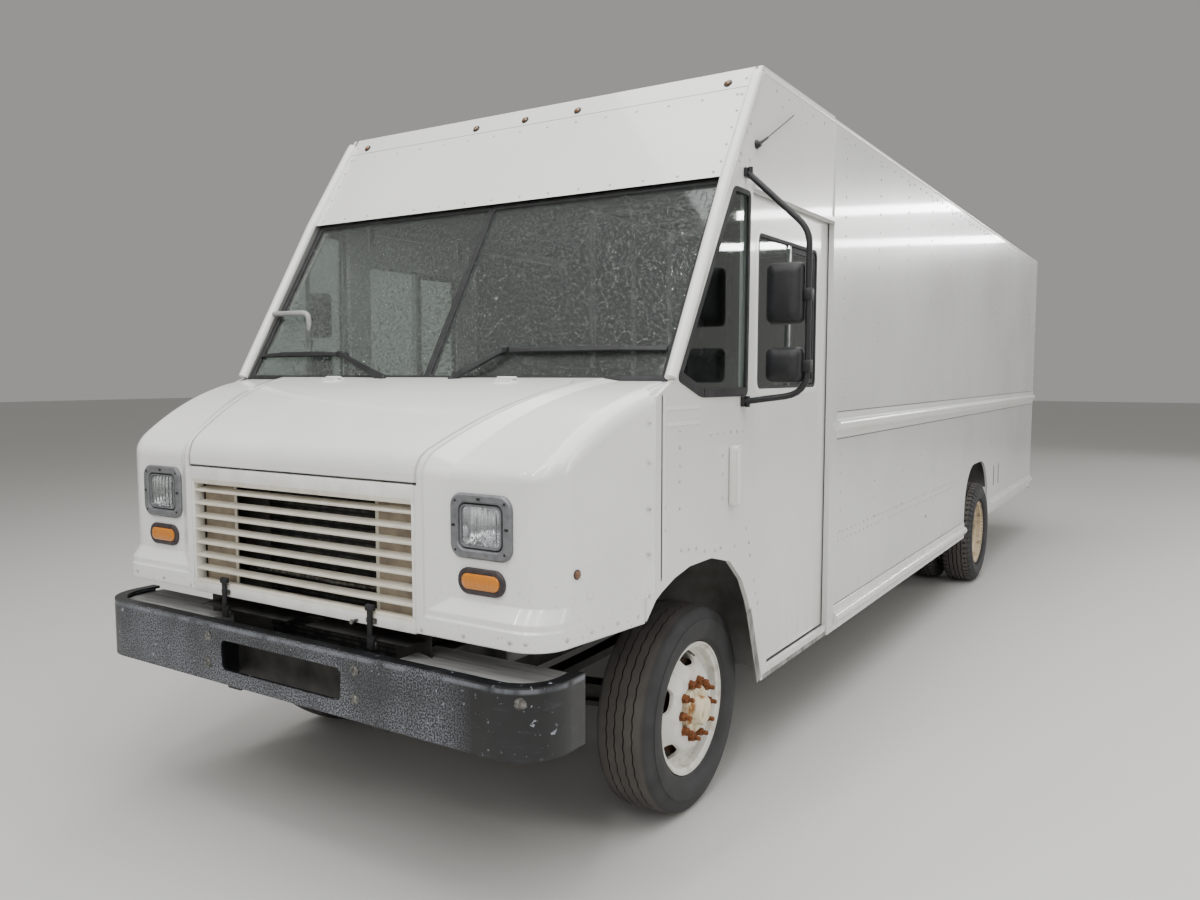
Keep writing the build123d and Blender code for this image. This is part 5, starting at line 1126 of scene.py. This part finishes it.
wiper_table = [
    # pivot x, elbow x, height of the blade, ends of the blade
    (-209, -566, 1850, -1118, -522),
    (172, 385, 1854, 332, 1110),
]
ELBOW = Vector((0.013, 0.010, 0.010))
for number, (pivot_x, elbow_x, height, blade_from, blade_to) in enumerate(wiper_table):
    post = place(pivot_x, -490, 1700)
    shape = bmesh.new()
    turned(shape, [(0, 16), (45, 14), (52, 13), (60, 9), (62, 0)], post, (0, 0, 1), 14)
    elbow = on_screen(elbow_x, height, 21)
    root = post + Vector((0, 0, 0.046))
    bend = root.lerp(elbow, 0.22) + SCREEN_OUT * 0.004
    bar_between(shape, root, bend, (40, 32), 13, SCREEN_OUT)
    bar_between(shape, bend, elbow, (30, 20), 10, SCREEN_OUT)
    rounded_block(shape, elbow - ELBOW, elbow + ELBOW, 0.004)
    middle = (blade_from + blade_to) / 2
    half = (blade_to - blade_from) / 2
    # Bars of the bow, as (share of the half length, clearance) of both ends, then width and thickness
    bars = [(share, 9, share * 0.5, 17, 18, 5) for share in (-0.98, -0.5, 0.5, 0.98)]
    bars += [(-0.5, 17, 0.5, 17, 23, 8), (-1, 8, 1, 8, 19, 5)]
    for share_a, clear_a, share_b, clear_b, width, thick in bars:
        start = on_screen(middle + half * share_a, height, clear_a)
        bar_between(shape, start, on_screen(middle + half * share_b, height, clear_b), width, thick, SCREEN_OUT)
    finish_piece("wiper_arm_%d" % number, shape, black_moulding, "black_plastic", node="wipers")
    shape = bmesh.new()
    bar_between(shape, on_screen(blade_from, height, 3.5), on_screen(blade_to, height, 3.5), 7, 6, SCREEN_OUT)
    finish_piece("wiper_rubber_%d" % number, shape, seal_rubber, "black_rubber", node="wipers")
print("wipers built")

# %% [markdown]
# ## Windows and their rubbers
#
# Flat glass is held by a black rubber strip that wraps round its edge. From outside it is a soft raised border.
# The borders follow the same corner points as the openings, set inwards, so one function offsets a closed
# line of points in the plane of the side wall and a second rounds its corners.


# %% Offset and round a line
def corners_of(points):
    """Each point of a closed line with the ones before and after it."""
    line = [Vector(point) for point in points]
    return zip(line[-1:] + line[:-1], line, line[1:] + line[:1])


def inset_line(points, distance):
    """Closed (station, height) points moved inwards by a distance, for a line that runs either way round."""
    area = sum(here.x * after.y - after.x * here.y for before, here, after in corners_of(points))
    turn = 1 if area > 0 else -1
    moved = []
    for before, here, after in corners_of(points):
        a = (here - before).normalized()
        b = (after - here).normalized()
        normal_a = Vector((-a.y, a.x)) * turn
        normal_b = Vector((-b.y, b.x)) * turn
        middle = (normal_a + normal_b).normalized()
        moved.append(here + middle * distance / max(0.2, middle.dot(normal_a)))
    return moved


def round_corners(points, radius):
    """A closed line with each corner rounded."""
    made = []
    for before, here, after in corners_of(points):
        made += curve_between(here, (before - here).normalized() * radius, (after - here).normalized() * radius, 5)
    return made


def border(shape, side, points, outer, inner, x_back, x_front, radius):
    """A raised frame between two offsets of a closed line, from x_back to x_front, with a rounded face."""
    soften = min(2.0, (inner - outer) / 4, max(0.4, (x_front - x_back) / 3))
    outlines = []
    for offset, x in (
        (outer, x_back), (outer, x_front - soften), (outer + soften, x_front),
        (inner - soften, x_front), (inner, x_front - soften), (inner, x_back),
    ):
        line = round_corners(inset_line(points, offset), max(2.0, radius - offset))
        outlines.append([place(side * x, *point) for point in line])
    skin(shape, outlines, ring=True)


print("border helpers ready")

# %% Build the window borders
QUARTER = [(24, 2488), (172, 2488), (160, 1684), (-250, 1686), (-432, 1748)]
DOOR_WINDOW = [(330, 2352), (1042, 2352), (1042, 1706), (330, 1706)]
REAR_PANE = [(716, 2338), (1030, 2338), (1030, 1720), (716, 1720)]
for side, name in SIDES:
    outward = (side, 0, 0)
    door = "cab_door_" + name
    shape = bmesh.new()
    border(shape, side, QUARTER, -7, 15, 1168, 1179, 22)
    bar_between(shape, (side * 1174, -232, 1698), (side * 1174, 150, 1696), 34, 12, outward)
    bar_between(shape, (side * 1174, -420, 1762), (side * 1174, -240, 1700), 30, 12, outward)
    finish_piece("quarter_window_rubber_" + name, shape, seal_rubber, "black_rubber")
    shape = bmesh.new()
    border(shape, side, DOOR_WINDOW, -30, -3, 1147.5, 1149.8, 34)
    finish_piece("door_window_surround_" + name, shape, panel_enamel, "white_paint", door)
    shape = bmesh.new()
    border(shape, side, DOOR_WINDOW, -3.5, 12, 1137, 1149.2, 32)
    border(shape, side, REAR_PANE, 0, 24, 1136.5, 1144, 26)
    block(shape, (side * 1136, side * 1147), (728, 752), (1742, 1790), 3)
    finish_piece("door_window_rubber_" + name, shape, seal_rubber, "black_rubber", door)
    shape = bmesh.new()
    bar_between(shape, (side * 1141, 704, 1716), (side * 1141, 704, 2342), 22, 8, outward)
    finish_piece("door_window_sash_" + name, shape, rail_aluminium, "rail_aluminium", door)
print("window borders built")

# %% [markdown]
# ## Windscreen
#
# Two flat panes sit in one rubber extrusion with a bar of the same rubber between them. Rain has dried on them, so
# the glass is slightly hazy and carries small drops. Each pane has a ring of rubber whose face is rounded: the ring
# runs between the outline of half the opening and the outline of the pane. The glass stands 4 mm behind its lip.

# %% Build the windscreen
clear = {"Transmission Weight": 0.965, "IOR": 1.5}
wet_glass, tree, shader = new_finish("rain_spotted_windscreen_glass", "#D6DEDA", 0.03, more=clear)
relief(tree, shader, add_node(tree, "MapRange", [grain(tree, 11, 3), 0.57, 0.66]), 0.9)
tree.links.new(add_node(tree, "MapRange", [grain(tree, 160, 4), 0.35, 0.7, 0.01, 0.08]), shader.inputs["Roughness"])


def pane_outline(bounds, radius, out):
    """Points of a rounded rectangle in the windscreen's plane, from (x, x, up the slope, up the slope) in mm."""
    left, right, low, high = bounds
    points = []
    for u, v in rounded_outline((right - left) / 2, (high - low) / 2, radius, 4):
        share = ((low + high) / 2 + v) / SCREEN_LENGTH
        points.append(on_screen((left + right) / 2 + u, SCREEN_FOOT[1] + SCREEN_RISE * share, out))
    return points


rubber = bmesh.new()
glass = bmesh.new()
# Across the ring of rubber: the share of the way from the opening to the pane, height off the glass, corner radius
RUBBER_STEPS = [(0.0, -33, 6), (0.0, 0, 6), (0.22, 4, 8), (0.8, 4, 11), (1.0, 0, 12), (1.0, -26, 12)]
for side, name in SIDES:
    opening = (*sorted((side * 0.2, side * 1141)), 0, SCREEN_LENGTH)
    pane = (*sorted((side * 16, side * 1114)), 34, SCREEN_LENGTH - 27)
    outlines = []
    for share, out, radius in RUBBER_STEPS:
        outlines.append(pane_outline([a + (b - a) * share for a, b in zip(opening, pane)], radius, out))
    skin(rubber, outlines, OPEN)
    edge = (pane[0] - 5, pane[1] + 5, pane[2] - 5, pane[3] + 5)
    skin(glass, [pane_outline(edge, 12, out) for out in (-10, -4)])
finish_piece("windscreen_rubber", rubber, seal_rubber, "black_rubber", node="windscreen_frame")
finish_piece("windscreen_panes", glass, wet_glass, "glass", node="cab_glass")
glass = bmesh.new()
for side, name in SIDES:
    line = round_corners(inset_line(QUARTER, 8), 12)
    skin(glass, [[place(side * x, *point) for point in line] for x in (1162, 1167)])
finish_piece("quarter_panes", glass, window_glass, "glass", node="cab_glass")
print("windscreen built")

# %% [markdown]
# ## Small parts of the nose and the sides
#
# A vehicle's skin carries many small things: a radio whip, a round side marker, wear strips, plugged holes.
# Each is tiny, but together they give the eye the scale. A piece that sits on the curved nose asks the CAD part for
# its nearest surface point and the direction that it faces, so it is never sunk in or floating.

# %% Whip, side marker and plugs
shape = bmesh.new()
turned(shape, [(-1, 19), (6, 18), (14, 12), (20, 10), (21, 0)], (WALL, 227, 2688), (1, 0, 0), 16)
whip_line = [(WALL + 14, 227, 2688), (1192, 245, 2700), (1193, 300, 2728), (1190, 600, 2885)]
bar_between(shape, whip_line[0], whip_line[1], 12, 9, (1, 0, 0))
finish_piece("whip_base", shape, black_moulding, "black_plastic")
bent_tube("whip_socket", whip_line[1:3], 5.5, black_moulding, "black_plastic")
bent_tube("whip_rod", whip_line[2:], 2.4, black_moulding, "black_plastic")


def on_nose(x, station, z):
    """The nearest place on the nose, and the direction that it faces there."""
    return parts["nose"].closest_point_on_mesh(place(x, station, z))[1:3]


# Turned pieces on the nose: name, x, station, z, profile, steps, finish, slot
nose_table = [
    ("side_marker_ring_", 1125, -990, 1146, [(-2, 16), (3, 16), (4, 13)], 18, signal_bezel, "black_rubber"),
    ("side_marker_lens_", 1125, -990, 1146, [(0, 13), (4, 13), (7, 10.4), (9, 3.9), (9, 0)], 18,
     aged_amber, "lamp_amber"),
    ("plugged_hole_", 1140, -930, 1072, [(-2, 17), (0.6, 17), (1.2, 15.5), (0.72, 14), (0.72, 0)], 24,
     gel_coat, "white_moulding"),
]
for side, name in SIDES:
    for label, x, station, z, profile, steps, finish, slot in nose_table:
        shape = bmesh.new()
        turned(shape, profile, *on_nose(side * x, station, z), steps)
        finish_piece(label + name, shape, finish, slot)

shape = bmesh.new()
NOSE_RIVET = [(-1, 7.5), (1.4, 7), (3, 4), (3.4, 0)]
band = [(x, -1162, 936 + max(0, abs(x) - 615) * 0.035) for x in (-1040, -977, -794, -615, 615, 794, 977, 1040)]
band += [(side * 1180, y, z) for side in (1, -1) for y, z in ((-1050, 950), (-930, 952), (-800, 953), (-690, 954))]
for point in band:
    turned(shape, NOSE_RIVET, *on_nose(*point), 10)
finish_piece("nose_band_rivets", shape, rivet_enamel, "white_moulding")

ARCH_FOOT = [(-652, 929), (-546, 1030), (-560, 1041), (-652, 1012)]
COWL_CORNER = [(-606, 1640), (-446, 1640), (-446, 1742), (-470, 1737), (-509, 1728), (-566, 1713), (-606, 1700)]
for side, name in SIDES:
    shape = bmesh.new()
    for outline, limits in ((ARCH_FOOT, (1155, WALL - 0.4)), (COWL_CORNER, (1133, 1158))):
        skin(shape, [[place(side * x, *point) for point in outline] for x in limits])
    finish_piece("nose_corner_fillers_" + name, shape, gel_coat, "white_moulding")
print("small parts of the nose built")

# %% Rivets and seam of the header
# The header is one sheet folded over the cab's front, with a joint a hand's breadth below the lamps.
shape = bmesh.new()
heads = [on_header(x, z) for z in (2547, 2893) for x in range(-1100, 1101, 157)]
heads += [on_header(side * 1118, z) for side in (1, -1) for z in range(2590, 2990, 75)]
rivet_heads(shape, heads, HEADER_OUT, 6.5)
finish_piece("rivets_header", shape, rivet_enamel, "white_paint")
shape = bmesh.new()
bar_between(shape, on_header(-1138, 2925, 0.4), on_header(1138, 2925, 0.4), 2.2, 0.8, HEADER_OUT)
finish_piece("header_joint", shape, seal_rubber, "black_rubber")
print("header rivets:", len(heads))

# %% Wear strips, joint covers and outlets on the sides
# Bare aluminium strips guard the edges where feet and tyres throw stones, and they have gone dull.
worn_aluminium = mottled("scuffed_bare_aluminium_strip", ("#9C9C99", 0.42, 0.9), (30, 5, (1, 1, 0.3)),
                         (0.35, 0.7), ("#A9A9A6", "#6D6B67"), (6, 4, (1, 1, 0.3)), 0.3)
# One row a piece: name, finish, slot, then bars as (start, end, width, thickness) with the ends as
# (x, station, z), and blocks as (limits across, stations, heights, radius, segments)
wall_table = [
    ("arch_and_sill_strip_", worn_aluminium, "rail_aluminium",
     [((1176.2, 212, 778), (1176.2, 330, 452), 46, 2.2), ((1175.6, 372, 452), (1175.6, 1186, 452), 20, 1.6)], []),
    ("joint_covers_", panel_enamel, "white_paint", [], [
        ((1174.8, 1176.6), (-540, -262), (1640, 1654), 0.8, 1), ((1174.8, 1176.6), (-540, -262), (1583, 1597), 0.8, 1),
        ((1174.6, 1179), (1206, 1216), (470, 2968), 2, 2), ((1174.6, 1179), (1232, 1242), (470, 2968), 2, 2),
        ((1174.6, 1180), (1196, 1252), (442, 486), 3, 2),
    ]),
    ("grab_handle_cover_", panel_enamel, "white_paint", [], [((1175.2, 1213.6), (-7, 51), (1247, 1486), 11, 3)]),
    ("nose_seam_", seal_rubber, "black_rubber", [((1175.8, -553, 1050), (1175.8, -553, 1696), 5, 1.4)], []),
    ("nose_seam_ridge_", panel_enamel, "white_paint", [((1177, -541, 1060), (1177, -541, 1688), 13, 5)], []),
    ("side_slots_", seal_rubber, "black_rubber", [], [
        ((1174.6, 1176.4), (5831, 5849), (740, 923), 0.8, 1), ((1174.6, 1176.4), (6071, 6089), (740, 923), 0.8, 1),
    ]),
]
for side, name in SIDES:
    for label, finish, slot, bars, blocks in wall_table:
        shape = bmesh.new()
        for start, end, width, thick in bars:
            start, end = ((side * x, station, z) for x, station, z in (start, end))
            bar_between(shape, start, end, width, thick, (side, 0, 0))
        for across, *limits in blocks:
            block(shape, [side * x for x in across], *limits)
        finish_piece(label + name, shape, finish, slot)
shape = bmesh.new()
turned(shape, [(-2, 11), (1.2, 11), (1.2, 7), (-1, 6), (-1, 0)], (WALL, 3264, 783), (1, 0, 0), 14)
finish_piece("rusted_plug", shape, rusty_steel, "cast")
print("strips and outlets built")

# %% [markdown]
# ## Behind the grille
#
# Sheet baffles on both sides of the radiator lead the air through it, so it is nearly black behind the slats.
# A few pipes and the condenser's fins just catch the light.

# %% Build the grille
# Folded sheet slats with a rolled lip run in front of the blanking panels, in a frame of four flat bars.
GRILLE_HALF = 590
GRILLE_FACE = -1152
OPENING = (965, 1343)
SLATS = 7
LIP = [(5, -1.5), (4, 0.5), (4, 5.5), (5.5, 7.5), (8, 7.5), (40, 15), (40, 12), (9, 3.5), (8.5, -1.5)]
bars, blanks, slats = bmesh.new(), bmesh.new(), bmesh.new()
# Blocks: limits across, depths behind the face, heights, radius, segments
for target, across, depths, heights, radius, segments in (
    (bars, (-GRILLE_HALF, GRILLE_HALF), (0, 40), (OPENING[1], 1408), 4, 2),
    (bars, (-GRILLE_HALF, GRILLE_HALF), (0, 40), (915, OPENING[0]), 4, 2),
    (bars, (GRILLE_HALF - 15, GRILLE_HALF), (0, 60), (915, 1408), 4, 2),
    (bars, (15 - GRILLE_HALF, -GRILLE_HALF), (0, 60), (915, 1408), 4, 2),
    (blanks, (372, 584), (44, 50), (945, 1363), 1, 1),
    (blanks, (370, 386), (41.5, 46), (945, 1363), 1.5, 1),
    (blanks, (-372, -584), (44, 50), (945, 1363), 1, 1),
    (blanks, (-370, -386), (41.5, 46), (945, 1363), 1.5, 1),
):
    block(target, across, [GRILLE_FACE + depth for depth in depths], heights, radius, segments)
pitch = (OPENING[1] - OPENING[0]) / (SLATS + 0.35)
for number in range(SLATS):
    z = OPENING[0] + pitch * (number + 0.75)
    skin(slats, [[place(x, GRILLE_FACE + y, z + up) for y, up in LIP] for x in (-580, 580)])
for label, shape in (("frame", bars), ("blanks", blanks), ("slats", slats)):
    finish_piece("grille_" + label, shape, grille_enamel, "cream_grille", node="grille")
print("slats:", SLATS, "pitch in mm:", round(pitch, 1))

# %% Baffles and pipes
shape = bmesh.new()
for side, name in SIDES:
    for x, stations, heights, width, thick, up in (
        (462, (-1031, -1031), (700, 1400), 268, 3, (side * -0.33, -0.944, 0)),
        (565, (-1085, -1085), (905, 1400), 60, 3, (side, 0, 0)),
        (300, (-1150, -1040), (868, 868), 500, 4, (0, 0, 1)),
    ):
        start, end = ((side * x, station, z) for station, z in zip(stations, heights))
        bar_between(shape, start, end, width, thick, up)
bar_between(shape, (-430, -1000, 880), (430, -1000, 880), 90, 4, (0, -0.5, 1))
finish_piece("radiator_baffles", shape, chassis_paint, "chassis_black")
for number, (z, y) in enumerate(((1302, -1034), (1188, -1030), (1010, -1036))):
    run = [(-395, y, z), (-120, y - 6, z + 6), (150, y - 4, z - 4), (395, y, z + 2)]
    bent_tube("condenser_pipe_%d" % number, run, 8, dull_steel, "radiator", smooth=True)
print("baffles built")

# %% [markdown]
# ## Driver's seat
#
# The seat is foam under vinyl on a steel pedestal. Foam pushes its cover out between the seams, so the cushions are
# simulated: a slightly small block is remeshed evenly and blown up by cloth pressure, with every point's movement
# held to 24 mm. The sewn channels are pressed in afterwards, because remeshing would erase them.

# %% Blow up a cushion
SWELL = 0.024
CLOTH_FRAMES = 20


def blown_up(pad):
    """Swell an object by cloth pressure, each point by no more than SWELL."""
    start = [vertex.co.copy() for vertex in pad.data.vertices]
    cloth = pad.modifiers.new("stuffing", "CLOTH")
    cloth.settings.use_pressure = True
    cloth.settings.uniform_pressure_force = 4.0
    cloth.settings.effector_weights.gravity = 0.0
    cloth.point_cache.frame_start = 1
    cloth.point_cache.frame_end = CLOTH_FRAMES
    for frame_number in range(1, CLOTH_FRAMES + 1):
        bpy.context.scene.frame_set(frame_number)
    swollen = bpy.data.meshes.new_from_object(pad.evaluated_get(bpy.context.evaluated_depsgraph_get()))
    pad.modifiers.clear()
    bpy.context.scene.frame_set(1)
    for vertex, old, new in zip(pad.data.vertices, start, swollen.vertices):
        moved = new.co - old
        if moved.length > SWELL:
            moved = moved.normalized() * SWELL
        vertex.co = old + moved


print("a point may move by", SWELL, "m")

# %% Make a cushion
CHANNELS = (0.55, 0.71)
CHANNEL_DEPTH = 0.007
CHANNEL_WIDTH = 0.006


def stuffed(name, low, high, corner):
    """A cushion between two corners, with sewn channels."""
    shape = bmesh.new()
    inset = Vector((0.016, 0.016, 0.014))
    rounded_block(shape, low + inset, high - inset, corner, 4)
    mesh = bpy.data.meshes.new(name)
    shape.to_mesh(mesh)
    shape.free()
    pad = mount(bpy.data.objects.new(name, mesh), "body", "driver_seat")
    even = pad.modifiers.new("even_mesh", "REMESH")
    even.mode = "VOXEL"
    even.voxel_size = 0.006
    pad.data = evaluated_mesh(pad)
    pad.modifiers.clear()
    blown_up(pad)
    middle = (low + high) / 2
    for vertex in pad.data.vertices:
        away = (vertex.co - middle).normalized()
        for x in CHANNELS:
            vertex.co -= away * CHANNEL_DEPTH * math.exp(-((vertex.co.x - x) / CHANNEL_WIDTH) ** 2)
        vertex.co = Vector([min(max(c, a), b) for c, a, b in zip(vertex.co, low, high)])
    pad.modifiers.new("finer_cover", "SUBSURF").levels = 1
    pad.data = evaluated_mesh(pad)
    pad.modifiers.clear()
    pad.data.shade_smooth()
    pad.data.materials.clear()
    pad.data.materials.append(seat_vinyl)
    return len(pad.data.polygons)


print("channels at x =", CHANNELS)

# %% Build the seat
faces = stuffed("seat_cushion", place(400, 470, 1181), place(860, 900, 1291), 0.03)
faces += stuffed("seat_backrest", place(410, 900, 1210), place(850, 1010, 1900), 0.035)
shape = bmesh.new()
for across, stations, heights, radius, segments in (
    ((480, 680), (512, 858), (810.5, 1120), 12, 3), ((455, 800), (490, 880), (1120, 1150), 8, 2),
    ((470, 496), (480, 890), (1150, 1180), 4, 2), ((775, 801), (480, 890), (1150, 1180), 4, 2),
    ((600, 660), (880, 930), (1168, 1240), 10, 2),
):
    block(shape, across, stations, heights, radius, segments)
finish_piece("seat_pedestal", shape, chassis_paint, "black_plastic", node="driver_seat")
print("seat faces:", faces)

# %% Dashboard instruments and the grab rail
# A hooded cluster with four round dials stands in front of the wheel, and a bent rail helps the passenger up.
dial_face = mottled("printed_dial_face", ("#0F1012", 0.3), (5, 2), (0.55, 0.6), ("#0F1012", "#2B2D30"))
shape = bmesh.new()
block(shape, (455, 825), (-330, -150), (1690, 1792), 20, 4)
for x in (-760, -420, -80):
    block(shape, (x - 85, x + 85), (-168, -112), (1600, 1650), 12, 3)
finish_piece("instrument_hood", shape, black_moulding, "dash_grey")
dials, rims = bmesh.new(), bmesh.new()
for x, radius in ((500, 26), (580, 38), (680, 38), (770, 26)):
    middle = place(x, -150, 1738)
    turned(dials, [(0.5, radius), (1.5, radius), (1.5, 0)], middle, (0, 1, 0), 28)
    turned(rims, [(0, radius), (4, radius), (4, radius + 4), (0, radius + 5)], middle, (0, 1, 0), 28)
    start = middle + Vector((0, 0.0022, 0))
    bar_between(rims, start, start + Vector((-0.6 * radius, 0, 0.6 * radius)) / 1000, 2.5, 0.8, (0, 1, 0))
finish_piece("dials", dials, dial_face, "dash_grey")
finish_piece("dial_rims", rims, dull_steel, "dash_grey")
rail = [(-885, 1700), (-885, 1880), (-885, 2030), (-905, 2056), (-950, 2060), (-1140, 2060)]
rail = [(x, -300, z) for x, z in rail]
bent_tube("passenger_grab_rail", rail, 12.5, step_plastic, "black_plastic", smooth=True)
print("cab fittings built")

# %% [markdown]
# ## Load space and rear
#
# Hat-section ribs stand inside the load space at each column of rivets, with bows across the roof.
# They show when the rear doors stand open. The photograph doesn't show the back, so lamps, plate holder, step tread
# and door furniture there follow what such vans have.

# %% Ribs and bows
shape = bmesh.new()
load_ribs = [station for station in rib_stations if station >= 2300]
for station in load_ribs:
    stations = (station - 24, station + 24)
    foot = 1018 if ARCH_REACH[0] < station < ARCH_REACH[1] else 815
    for side, name in SIDES:
        block(shape, (side * 1132, side * 1154.6), stations, (foot, 2970), 4)
    block(shape, (-1130, 1130), stations, (2944, 2972), 4)
finish_piece("body_ribs", shape, worn_aluminium, "rail_aluminium")
print("rib frames:", len(load_ribs))

# %% Rear lamps, plate holder and step tread
lenses, holders, markers = bmesh.new(), bmesh.new(), bmesh.new()
for side, name in SIDES:
    for z in (660, 750):
        middle = (side * 1125, 8145, z)
        turned(lenses, [(0, 30), (8, 30), (9.5, 27), (10, 0)], middle, (0, 1, 0))
        turned(holders, [(-1, 34.5), (6, 34.5), (8, 31), (6, 30)], middle, (0, 1, 0))
    block(holders, (side * 1085, side * 1165), (8140.4, 8146), (620, 790), 2)
finish_piece("rear_lamp_lenses", lenses, red_lens, "lamp_red", node="rear_lights")
finish_piece("rear_lamp_holders", holders, seal_rubber, "black_rubber", node="rear_lights")
for x in (-1050, -180, 0, 180, 1050):
    loft(markers, (x, 8140, 2930), [(0, 30, 14, 13), (-8, 30, 14, 13), (-14, 24, 9, 8.5), (-16, 12, 4, 3.5)])
finish_piece("rear_marker_lenses", markers, red_lens, "lamp_red")
shape = bmesh.new()
block(shape, (-160, 160), (8300.2, 8303.5), (520, 680), 1)
finish_piece("blank_plate_holder", shape, worn_aluminium, "rail_aluminium")
shape = bmesh.new()
for row, station in enumerate(range(8112, 8292, 24)):
    for x in range(-1110 + (row % 2) * 18, 1111, 36):
        turn = 1 if (row + x // 36) % 2 else -1
        start, end = (x - 8, station - 6 * turn, 700.4), (x + 8, station + 6 * turn, 700.4)
        bar_between(shape, start, end, 5, 1.6, (0, 0, 1))
finish_piece("step_tread", shape, worn_aluminium, "rail_aluminium")
print("rear lamps and step built")

# %% Rear door furniture
# Dark tinted glass lets so little light through that it reads as a glossy black sheet.
dark_glass, tree, shader = new_finish("dark_tinted_privacy_glass", "#171C1B", 0.05)
tree.links.new(add_node(tree, "MapRange", [grain(tree, 120, 3), 0.4, 0.75, 0.03, 0.12]), shader.inputs["Roughness"])
for side, name in SIDES:
    door = "rear_door_" + name
    shape = bmesh.new()
    block(shape, (side * 72, side * 116), (8178, 8186), (1290, 1460), 3)
    block(shape, (side * 94 - 9, side * 94 + 9), (8186, 8200), (1330, 1420), 6, 3)
    finish_piece("rear_door_handle_" + name, shape, dull_steel, "black_plastic", door)
    shape = bmesh.new()
    for x in (24, 1085):
        block(shape, (side * (x - 7), side * (x + 7)), (8177.5, 8181), (806, 2802), 1.5)
    finish_piece("rear_door_seals_" + name, shape, seal_rubber, "black_rubber", door)
    middle = (side * 550.5, 8180, 2150)
    outer, inner = (282, 262, 66), (252, 232, 44)
    shape = bmesh.new()
    loft(shape, middle, [(4, *outer), (-3, *outer), (-4, *inner), (12, *inner)], OPEN)
    finish_piece("rear_window_rubber_" + name, shape, seal_rubber, "black_rubber", door)
    shape = bmesh.new()
    loft(shape, middle, [(depth, 259.5, 239.5, 49.5) for depth in (16.5, 25.5)])
    finish_piece("rear_window_pane_" + name, shape, dark_glass, "glass", door)
print("rear doors dressed")
